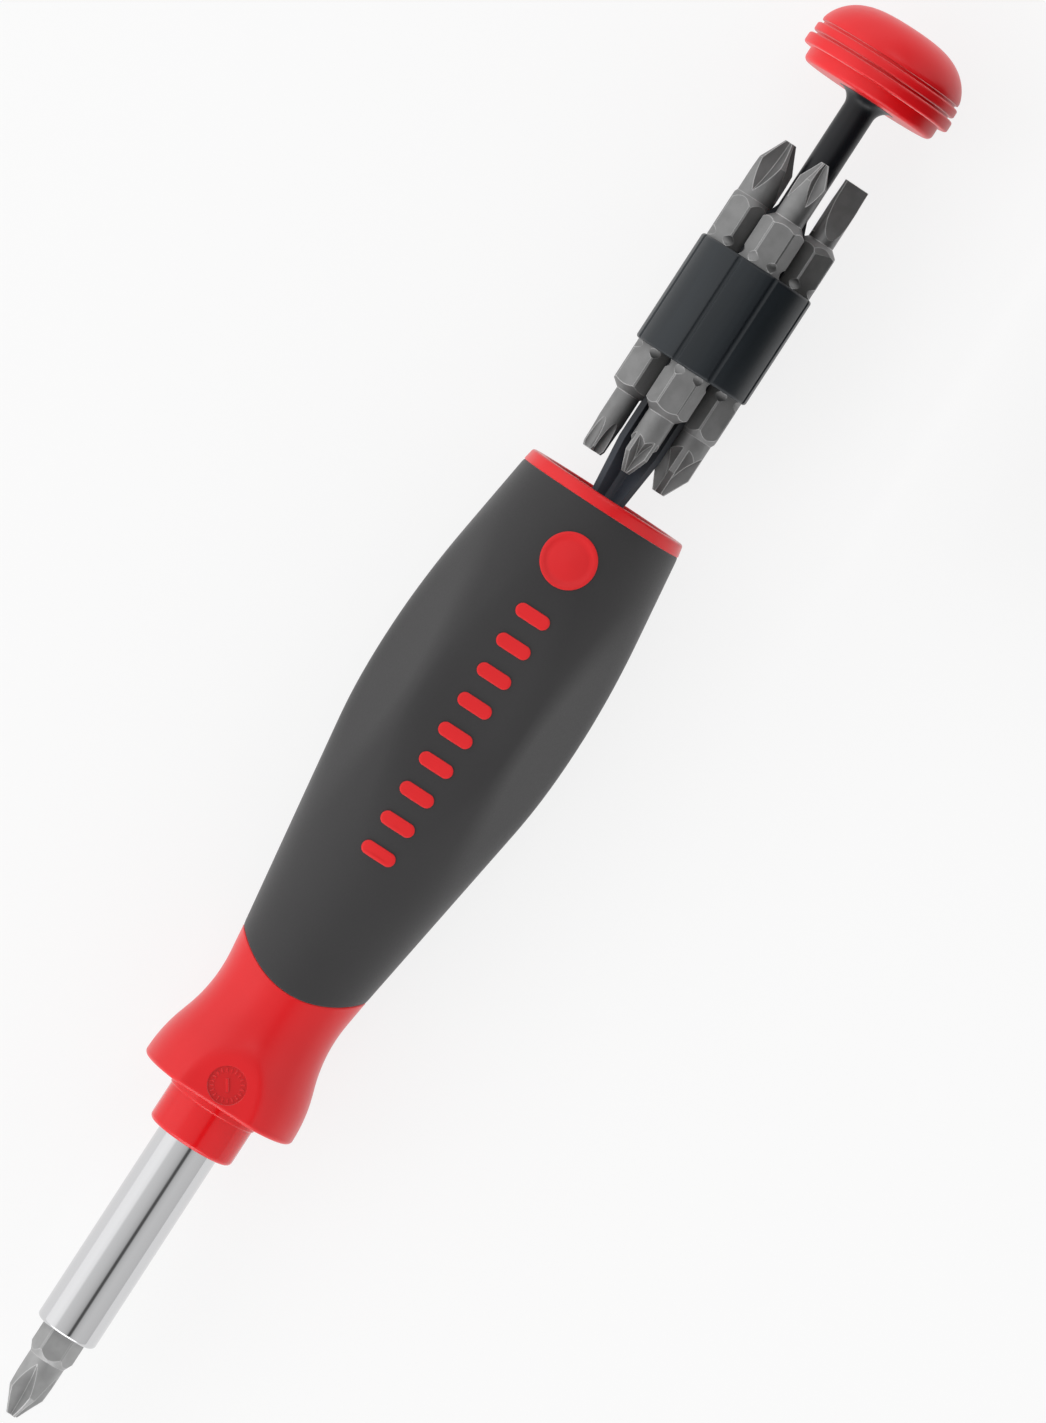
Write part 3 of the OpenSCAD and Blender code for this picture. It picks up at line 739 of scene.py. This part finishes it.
# %% [markdown]
# A second class holds one material or world. Nodes could be added and linked by hand, one call for each.
# Here one method adds a node with its settings and sockets, and the others name what is used often: noise
# on Object coordinates, soft steps, mixed colours, bumps, and edges that the Bevel node finds.

# %% A finish and its nodes
bevel_samples = 6
nearness_start, nearness_full = 0.002, 0.04


class Finish:
    """A material or world whose nodes are added one by one."""

    def __init__(self, name, owner=None):
        self.owner = owner or bpy.data.materials.new(name)
        self.owner.use_nodes = True
        self.tree = self.owner.node_tree
        self.tree.nodes.clear()

    def node(self, kind, settings=None, inputs=None, output=0):
        """Adds a node with its settings and sockets, and gives one of its outputs."""
        made = self.tree.nodes.new(kind)
        for key, value in (settings or {}).items():
            if key == "stops":
                self.set_stops(made.color_ramp, value)
            else:
                setattr(made, key, value)
        for key, value in (inputs or {}).items():
            if isinstance(value, Value):
                self.tree.links.new(value.socket, made.inputs[key])
            else:
                made.inputs[key].default_value = value
        return Value(self, made.outputs[output]) if made.outputs else made

    def set_stops(self, ramp, stops):
        """Gives a colour ramp its stops, as places from 0 to 1 and colours."""
        while len(ramp.elements) < len(stops):
            ramp.elements.new(0.5)
        for element, (place, colour) in zip(ramp.elements, stops):
            element.position = place
            element.color = colour

    def place(self):
        """Where a point is on its own piece, in metres."""
        return self.node("ShaderNodeTexCoord", output="Object")

    def axes(self, vector):
        """The X, Y and Z of a vector, as three values."""
        split = self.node("ShaderNodeSeparateXYZ", {}, {"Vector": vector})
        return [Value(self, output) for output in split.socket.node.outputs]

    def rays(self, *kinds):
        """1 for rays of these kinds, as the Light Path node names them."""
        outputs = self.node("ShaderNodeLightPath").socket.node.outputs
        seen = Value(self, outputs[kinds[0]])
        for kind in kinds[1:]:
            seen = seen + Value(self, outputs[kind])
        return seen

    def noise(self, scale, detail=2.0, stretch=(1, 1, 1)):
        """Noise with so many waves to the metre, stretched along the axes."""
        size = tuple(scale * s for s in stretch)
        where = self.node("ShaderNodeMapping", {}, {"Vector": self.place(), "Scale": size})
        return self.node("ShaderNodeTexNoise", {}, {"Vector": where, "Scale": 1.0, "Detail": detail})

    def between(self, value, low, high):
        """The value's way from low to high, from 0 to 1 with soft ends."""
        settings = {"interpolation_type": "SMOOTHSTEP"}
        sockets = {"Value": value, "From Min": low, "From Max": high}
        return self.node("ShaderNodeMapRange", settings, sockets)

    def mix(self, share, first, second):
        """A colour between two, by a share."""
        settings = {"data_type": "RGBA"}
        return self.node("ShaderNodeMix", settings, {"Factor": share, "A": first, "B": second}, output=2)

    def bump(self, height, distance, strength=1.0, normal=None):
        """Normals of a relief, on top of other normals where they are given."""
        sockets = {"Height": height, "Distance": distance, "Strength": strength}
        if normal:
            sockets["Normal"] = normal
        return self.node("ShaderNodeBump", {}, sockets)

    def rounded(self, radius):
        """Normals as if each edge were rounded."""
        return self.node("ShaderNodeBevel", {"samples": bevel_samples}, {"Radius": radius})

    def edge_nearness(self, radius):
        """How near a point is to an outer or inner edge, from 0 to 1."""
        edge = self.rounded(radius)
        face = self.node("ShaderNodeNewGeometry", output="Normal")
        settings = {"operation": "DOT_PRODUCT"}
        along = self.node("ShaderNodeVectorMath", settings, {0: edge, 1: face}, output="Value")
        return self.between(1.0 - along, nearness_start, nearness_full)

    def surface(self, **sockets):
        """The finished shader: sockets by name, with spaces written as underscores."""
        named = {key.replace("_", " "): value for key, value in sockets.items()}
        shader = self.node("ShaderNodeBsdfPrincipled", {}, named)
        self.node("ShaderNodeOutputMaterial", {}, {"Surface": shader})
        return self.owner


def rgb(red, green, blue):
    """A solid colour."""
    return (red, green, blue, 1.0)


print("finishes can be made:", Finish.__name__)

# %% [markdown]
# The red mouldings are satin nylon. The colour is nearly even, with faint deeper clouds, and a very fine
# spark-eroded grain breaks the gloss. The floor of the mould mark is painted a deeper red, as painted shade
# in the recess. One flat colour would do from afar. Noise keeps it lively up close, and it has no seams.

# %% Red nylon
red = rgb(0.77, 0.007, 0.011)
deep_red = rgb(0.72, 0.006, 0.009)
# The cap's two reds are the core's nylon painted lighter, as painted light on the cap.
cap_lit_red = rgb(0.84, 0.008, 0.013)
cap_lit_deep_red = rgb(0.77, 0.006, 0.010)
# Painted shade: the mould mark's floor is mixed towards this deeper red.
recess_shade_red, recess_shade_share = rgb(0.4, 0.001, 0.002), 0.32
mark_inner, mark_outer = mark_radius - 0.1, mark_radius + 0.05
mark_low, mark_high = mark_floor + 0.04, mark_floor + 0.1
nylon_relief, nylon_edge = 0.006, 0.12


def painted_recess_shade(finish):
    """Where shade is painted: 1 on the floor of the flange's mould mark, and 0 on the ticks and the pointer
    that stand on it.
    """
    x, y, z = finish.axes(finish.place())
    along = x - mark_x * mm
    away = finish.node("ShaderNodeMath", {"operation": "SQRT"}, {0: along * along + y * y})
    inside = 1.0 - finish.between(away, mark_inner * mm, mark_outer * mm)
    low = 1.0 - finish.between(z, mark_low * mm, mark_high * mm)
    return inside * low * (z > 0.0)


def red_nylon(name, roughness, light=red, deep=deep_red, with_recess_shade=False):
    """Satin nylon between two reds, with painted shade on the mould mark's floor where it is asked for."""
    finish = Finish(name)
    cloud = finish.noise(55, 3)
    grain = finish.noise(5200, 2)
    fine = finish.noise(900, 3)
    colour = finish.mix(finish.between(cloud, 0.35, 0.7), light, deep)
    dull = fine * 0.10 + (roughness - 0.05)
    height = grain * 0.35 + fine * 0.3
    if with_recess_shade:
        # Painted shade in the mark's recess, lighter on the ticks that stand in it.
        colour = finish.mix(painted_recess_shade(finish) * recess_shade_share, colour, recess_shade_red)
    normal = finish.bump(height, nylon_relief * mm, 0.7, finish.rounded(nylon_edge * mm))
    return finish.surface(Base_Color=colour, Roughness=dull, Normal=normal, IOR=1.48)


body_red = red_nylon("red_nylon_satin", 0.31, with_recess_shade=True)
cap_red = red_nylon("red_nylon_cap_painted_lighter", 0.36, cap_lit_red, cap_lit_deep_red)
collar_red = red_nylon("red_nylon_polished", 0.1)
inlay_red = red_nylon("red_inlay_matte", 0.5)
print("red finishes:", body_red.name, cap_red.name, collar_red.name, inlay_red.name)

# %% [markdown]
# The grip is soft rubber: dark grey, matte, with a fine eroded grain that scatters light, and a faint
# sheen at grazing angles. A plain rough grey would look flat on the long facets, so two sizes of noise make
# the grain and a third one clouds the grey.

# %% Soft grip rubber
rubber_dark = rgb(0.026, 0.025, 0.026)
rubber_light = rgb(0.031, 0.030, 0.031)
rubber_relief = 0.012


def grip_rubber():
    """Matte rubber with a fine grain."""
    finish = Finish("soft_grip_rubber")
    cloud = finish.noise(38, 3)
    grain = finish.noise(3600, 3)
    speck = finish.noise(9000, 1)
    colour = finish.mix(finish.between(cloud, 0.3, 0.72), rubber_dark, rubber_light)
    dull = grain * 0.16 + 0.52
    height = grain * 0.8 + speck * 0.4
    normal = finish.bump(height, rubber_relief * mm, 0.8)
    return finish.surface(
        Base_Color=colour, Roughness=dull, Normal=normal, IOR=1.46, Sheen_Weight=0.15, Sheen_Roughness=0.45
    )


rubber = grip_rubber()
print(rubber.name, "has", len(rubber.node_tree.nodes), "nodes")

# %% [markdown]
# The shaft is nickel-plated steel, ground and polished. Very fine rings from the grinding run round it,
# and a few longer hairlines run along it where bits and fingers have rubbed. Anisotropic shading could
# streak it too. Stretched noise in the roughness and the bump is used, because it can be baked.

# %% Polished shaft steel
shaft_grey = rgb(0.66, 0.66, 0.67)
shaft_bright = rgb(0.80, 0.80, 0.80)
shaft_bright_reach, shaft_edge, shaft_relief = 0.18, 0.12, 0.0012


def shaft_steel():
    """Polished steel with fine rings and hairlines, brighter along its edges."""
    finish = Finish("polished_shaft_steel")
    rings = finish.noise(1.0, 2, (9000, 60, 60))
    hairs = finish.noise(1.0, 2, (90, 3500, 3500))
    edge = finish.edge_nearness(shaft_bright_reach * mm)
    # Edges brighter in colour.
    colour = finish.mix(edge * 0.6, shaft_grey, shaft_bright)
    dull = rings * 0.05 + finish.between(hairs, 0.62, 0.8) * 0.10 + 0.05
    relief = rings + hairs * 0.4
    normal = finish.bump(relief, shaft_relief * mm, 0.5, finish.rounded(shaft_edge * mm))
    return finish.surface(Base_Color=colour, Roughness=dull, Metallic=1.0, Normal=normal)


steel = shaft_steel()
print(steel.name, "has", len(steel.node_tree.nodes), "nodes")

# %% [markdown]
# The bits are hardened steel, blasted and phosphated to a dull grey. Their edges are brighter in colour:
# partly bare from wear where they touch screws and the carrier, and partly a painted highlight. The bit in
# use has the same finish painted a little lighter, as painted light. Bright edges could be painted by hand.
# Here they are found: where the rounded normal leaves the true one, an edge is near.

# %% Blasted bit steel
bit_bright_reach, bit_edge, bit_relief = 0.2, 0.09, 0.006


def grey(level):
    """A grey of one level."""
    return rgb(level, level, level)


def bit_steel(name, shade):
    """Blasted steel of a grey shade, brighter in colour along its edges: partly wear, partly painted
    highlight.
    """
    finish = Finish(name)
    cloud = finish.noise(420, 4)
    grain = finish.noise(7000, 2)
    streak = finish.noise(1.0, 3, (260, 1500, 1500))
    edge = finish.edge_nearness(bit_bright_reach * mm)
    # Edge colour: partly wear, partly painted highlight.
    wear_and_highlight = edge * finish.between(cloud + streak * 0.5, 0.1, 0.6)
    base = finish.mix(finish.between(cloud, 0.3, 0.75), grey(shade), grey(shade * 0.84))
    colour = finish.mix(wear_and_highlight * 0.9, base, grey(shade * 0.5 + 0.5))
    dull = grain * 0.14 + 0.41 - wear_and_highlight * 0.1
    relief = grain + cloud * 0.5
    normal = finish.bump(relief, bit_relief * mm, 0.7, finish.rounded(bit_edge * mm))
    return finish.surface(Base_Color=colour, Roughness=dull, Metallic=0.72, Normal=normal)


magazine_bit_steel = bit_steel("blasted_bit_steel", 0.27)
# The bit in use: the same steel, painted lighter as painted light.
driving_bit_steel = bit_steel("blasted_bit_steel_painted_lighter", 0.41)
print("bit finishes:", magazine_bit_steel.name, "and", driving_bit_steel.name)

# %% [markdown]
# The stem is black nylon and the carrier a bluish black one. Both are satin, with soft edges and faint
# flow lines along the length. The stem's lower end is painted lighter and bluer, as painted light where
# the rim and the bits shade it.
# Two separate materials would repeat the same nodes, so one function makes both.

# %% Black nylon
black_edge_reach, black_relief = 0.2, 0.008
black_edge_grey, black_edge_share = rgb(0.09, 0.095, 0.1), 0.12
# Where the stem's lower end is painted lighter, as painted light, in millimetres along X.
painted_light_from, painted_light_to = 116, 132


def black_nylon(name, colour, other, roughness, gloss, edge_radius, painted_light_end=None):
    """Satin nylon between two blacks, with a lower end painted lighter as painted light, where its colour is
    given.
    """
    finish = Finish(name)
    flow = finish.noise(1.0, 3, (40, 420, 420))
    grain = finish.noise(5200, 2)
    edge = finish.edge_nearness(black_edge_reach * mm)
    tone = finish.mix(finish.between(flow, 0.35, 0.7), colour, other)
    # Edges a little greyer in colour.
    tone = finish.mix(edge * black_edge_share, tone, black_edge_grey)
    # Painted light: the lower end is made lighter where it lies in shade.
    if painted_light_end:
        x = finish.axes(finish.place())[0]
        tone = finish.mix(finish.between(x, painted_light_from * mm, painted_light_to * mm), painted_light_end, tone)
    dull = grain * 0.10 + flow * 0.08 + (roughness - 0.09)
    relief = grain * 0.6 + flow * 0.4
    normal = finish.bump(relief, black_relief * mm, 0.6, finish.rounded(edge_radius * mm))
    return finish.surface(Base_Color=tone, Roughness=dull, Normal=normal, IOR=gloss)


stem_dark = rgb(0.005, 0.006, 0.008)
stem_light = rgb(0.008, 0.009, 0.012)
# The lower end's colour, painted lighter as painted light.
stem_painted_light = rgb(0.046, 0.056, 0.072)
stem_edge, carrier_edge = 0.15, 0.35
stem_black = black_nylon("black_stem_nylon", stem_dark, stem_light, 0.36, 1.4, stem_edge, stem_painted_light)
carrier_dark = rgb(0.014, 0.018, 0.022)
carrier_light = rgb(0.018, 0.023, 0.028)
carrier_black = black_nylon("carrier_nylon", carrier_dark, carrier_light, 0.4, 1.44, carrier_edge)
print("black finishes:", stem_black.name, "and", carrier_black.name)

# %% [markdown]
# The magnet sits at the bottom of the shaft's socket and is plated with nickel. It could share the shaft's
# steel, but a plating is greyer and has no rings. It is hardly seen, so cloudy grey metal is enough.

# %% Magnet plating
magnet_relief, magnet_edge = 0.004, 0.15


def magnet_plating():
    """Cloudy grey metal."""
    finish = Finish("magnet_plating")
    cloud = finish.noise(700, 3)
    colour = finish.mix(cloud, rgb(0.42, 0.42, 0.43), rgb(0.5, 0.5, 0.5))
    normal = finish.bump(cloud, magnet_relief * mm, 0.5, finish.rounded(magnet_edge * mm))
    return finish.surface(Base_Color=colour, Roughness=cloud * 0.1 + 0.25, Metallic=1.0, Normal=normal)


magnet_steel = magnet_plating()
print("finishes:", len(bpy.data.materials))

# %% [markdown]
# Each new piece takes its finish, rides on its body and stands for its CAD node. The CAD nodes that stay
# get their finish in their own material slot. All of it could be set piece by piece, but two lists show at
# a glance what wears what. The steel in the photograph shows no red, so the core and the cap are kept out of
# reflections.

# %% Dress the pieces
new_pieces = [
    (grip, rubber, "handle", "grip_sleeve", "soft_grip"),
    (core, body_red, "handle", "handle_core", "red_body"),
    (collar, collar_red, "handle", "nose_collar", "red_gloss"),
    (medallion, inlay_red, "handle", "medallion", "red_inlay"),
    (bars, inlay_red, "handle", "grip_inlays", "red_inlay"),
    (cap, cap_red, "magazine", "magazine_cap", "red_body"),
]
for piece, finish, body, node, slot in new_pieces:
    piece.data.materials.clear()
    piece.data.materials.append(finish)
    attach(piece, body)
    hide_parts(node)
for piece in (core, cap):
    piece.visible_glossy = False

kept_nodes = {
    "holder_sleeve": steel,
    "holder_ring": steel,
    "holder_magnet": magnet_steel,
    "shaft_bit": driving_bit_steel,
    "magazine_rod": stem_black,
    "bit_carrier": carrier_black,
    "bit_left": magazine_bit_steel,
    "bit_front": magazine_bit_steel,
    "bit_right": magazine_bit_steel,
}
for name, finish in kept_nodes.items():
    slots = nodes[name].data.materials
    slots.clear()
    slots.append(finish)
print("dressed", len(new_pieces), "new pieces and", len(kept_nodes), "CAD nodes")

# %% [markdown]
# The floor is a large plain pale sheet under the tool. It could be made white with stronger lamps, but those
# would bleach the tool as well. Instead, most of it is white by itself to the camera, to reflections and
# through glass alike. The rest is lit like a real floor, so that it keeps the tool's soft shadow.

# %% Floor
middle = Vector((0.08, 0, 0))
floor_size, floor_gap = 6.0, 0.3
floor_paper = grey(0.86)
full_white = grey(1.0)
white_share = 0.8


def make_floor():
    """A wide sheet just under the tool."""
    deselect()
    level = cad_box[0][2] - floor_gap * mm
    bpy.ops.mesh.primitive_plane_add(size=floor_size, location=(middle.x, middle.y, level))
    floor = bpy.context.object
    floor.name = "pale_floor"
    bpy.ops.object.transform_apply(location=True)
    finish = Finish("pale_floor")
    seen = finish.rays("Is Camera Ray", "Is Transmission Ray", "Is Glossy Ray")
    paper = finish.node("ShaderNodeBsdfDiffuse", {}, {"Color": floor_paper})
    glow = finish.node("ShaderNodeEmission", {}, {"Color": full_white, "Strength": 1.0})
    shown = finish.node("ShaderNodeMixShader", {}, {0: seen * white_share, 1: paper, 2: glow})
    finish.node("ShaderNodeOutputMaterial", {}, {"Surface": shown})
    floor.data.materials.append(finish.owner)
    return floor


floor = make_floor()
print("floor at", round(floor.data.vertices[0].co.z / mm, 2), "mm")

# %% [markdown]
# The magazine's right side is dark in the photograph. Less light from that side could do it, but would also
# darken the handle. A dark card beside the magazine, which the camera doesn't see, keeps light off that side
# only.

# %% Dark card
flag_length, flag_height = 76, 85
flag_place = Vector((170, -36, 42))
felt_dark, felt_light = grey(0.008), grey(0.016)


def make_flag():
    """The dark card, standing along the magazine."""
    deselect()
    bpy.ops.mesh.primitive_plane_add(size=1.0, location=(0, 0, 0))
    flag = bpy.context.object
    flag.name = "dark_flag"
    sides = (Vector((flag_length, 0, 0)) * mm, Vector((0, 0, flag_height)) * mm, Vector((0, 1, 0)))
    flag.matrix_world = Matrix.Translation(flag_place * mm) @ Matrix(sides).transposed().to_4x4()
    bpy.ops.object.transform_apply(location=True, rotation=True, scale=True)
    finish = Finish("dark_felt")
    colour = finish.mix(finish.noise(2500, 3), felt_dark, felt_light)
    flag.data.materials.append(finish.surface(Base_Color=colour, Roughness=0.9, IOR=1.2))
    flag.visible_camera = False
    return flag


flag = make_flag()
print("card", flag.name, "is", flag_length, "by", flag_height, "mm")

# %% [markdown]
# The world is a light tent: bright on the left, an even grey on the right, and a narrow dark gap between
# two panels, which draws the thin dark line along the polished shaft. Brightness follows the angle around
# the tool's axis. A bright front panel lights the rounded front edges. A picture of a studio could light the
# tool as well, but here each band on the shaft has a level that can be set. To the camera and through glass,
# the world is plain white.

# %% Light tent
tent_brightest = 3.2
tent_levels = [
    (-125, 0.9), (-95, 1.15), (-60, 1.2), (-43, 1.1), (-37, 0.82),
    (-11, 0.72), (3, 0.6), (9, 0.5), (13, 0.1), (20, 0.1),
    (24, 0.55), (32, 0.68), (47, 0.75), (80, 0.7), (120, 0.5),
]
front_from, front_full = 0.76, 0.93


def tent_stop(angle, level):
    """A ramp stop from an angle about the axis, in degrees from the top to the right, and a level."""
    return (angle / 360 + 0.5, grey(level / tent_brightest))


def make_world():
    """Bands of light around the tool's axis, with a panel in front."""
    world = bpy.data.worlds.new("light_tent")
    bpy.context.scene.world = world
    finish = Finish("light_tent", world)
    x, y, z = finish.axes(finish.node("ShaderNodeTexCoord", output="Generated"))
    turn = finish.node("ShaderNodeMath", {"operation": "ARCTAN2"}, {0: y * -1.0, 1: z})
    share = turn * (0.5 / math.pi) + 0.5
    stops = [tent_stop(angle, level) for angle, level in tent_levels]
    tent = finish.node("ShaderNodeValToRGB", {"stops": stops}, {"Fac": share})
    panels = finish.mix(finish.between(x * -1.0, front_from, front_full), tent, full_white)
    seen = finish.rays("Is Camera Ray", "Is Transmission Ray")
    sky = finish.node("ShaderNodeBackground", {}, {"Color": panels, "Strength": tent_brightest})
    white = finish.node("ShaderNodeBackground", {}, {"Color": full_white, "Strength": 1.0})
    shown = finish.node("ShaderNodeMixShader", {}, {0: seen, 1: sky, 2: white})
    finish.node("ShaderNodeOutputWorld", {}, {"Surface": shown})
    return world


world = make_world()
print(world.name, "has", len(tent_levels), "levels around the axis")

# %% [markdown]
# The tent alone would light the tool too evenly. Two large soft lamps, on the left and on the right, shape
# the rubber and the red mouldings, and a third one, high up beyond the cap, brightens the blasted bits. Only
# the third one shows in reflections, because the others would show as squares on the shaft. Spot lamps could
# do the same, but their shadows are harder.

# %% Lamps
lean = math.radians(33)
picture_right = Vector((math.sin(lean), -math.cos(lean), 0))
picture_up = Vector((math.cos(lean), math.sin(lean), 0))
key_place = picture_right * -0.75 + picture_up * 0.25 + Vector((0, 0, 0.75))
fill_place = picture_right * 0.9 + Vector((0, 0, 0.45))
top_place = Vector((0.62, -0.04, 0.95))
side_lamp_size, top_lamp_size = 0.6, 0.4
key_level, fill_level, top_level = 1.2, 0.45, 1.6


def soft_lamp(name, offset, size, radiance, mirrored=False):
    """A square lamp that looks at the middle of the tool, with its light given as brightness."""
    lamp = bpy.data.lights.new(name, "AREA")
    lamp.shape = "SQUARE"
    lamp.size = size
    lamp.energy = radiance * math.pi * size * size
    lamp_object = bpy.data.objects.new(name, lamp)
    bpy.context.scene.collection.objects.link(lamp_object)
    spot = middle + offset
    aim = (middle - spot).to_track_quat("-Z", "Y").to_matrix().to_4x4()
    lamp_object.matrix_world = Matrix.Translation(spot) @ aim
    lamp_object.visible_glossy = mirrored
    return lamp_object


key = soft_lamp("key_lamp", key_place, side_lamp_size, key_level)
fill = soft_lamp("fill_lamp", fill_place, side_lamp_size, fill_level)
top = soft_lamp("top_lamp", top_place, top_lamp_size, top_level, mirrored=True)
bpy.context.scene.view_settings.view_transform = "Standard"
print("lit by", key.name, fill.name, "and", top.name)

# %% [markdown]
# The camera looks down from above the bit magazine's side of the tool. It could be placed by eye, with the
# photograph as a background. Its place, aim and lens come from a fit instead: ten points along the tool's
# axis fall where they are in the photograph, as nearly as one camera can see them.

# %% Camera
camera_place = Vector((138.0, 20.0, 1100.0))
camera_aim = Vector((80.9707, -6.7579, 0.0))
focal_pixels, picture_pixels = 7419.4, 1423
sensor_height = 36.0
nearest, farthest = 0.01, 20.0


def make_camera():
    """The camera of the photograph."""
    camera = bpy.data.cameras.new("camera")
    camera_object = bpy.data.objects.new("camera", camera)
    bpy.context.scene.collection.objects.link(camera_object)
    spot = camera_place * mm
    back = (spot - camera_aim * mm).normalized()
    across = picture_up.cross(back).normalized()
    upward = back.cross(across)
    turn = Matrix((across, upward, back)).transposed().to_4x4()
    camera_object.matrix_world = Matrix.Translation(spot) @ turn
    camera.sensor_fit = "VERTICAL"
    camera.sensor_height = sensor_height
    camera.lens = sensor_height * focal_pixels / picture_pixels
    camera.clip_start = nearest
    camera.clip_end = farthest
    bpy.context.scene.camera = camera_object
    return camera_object


camera = make_camera()
print("lens", round(camera.data.lens, 1), "mm")
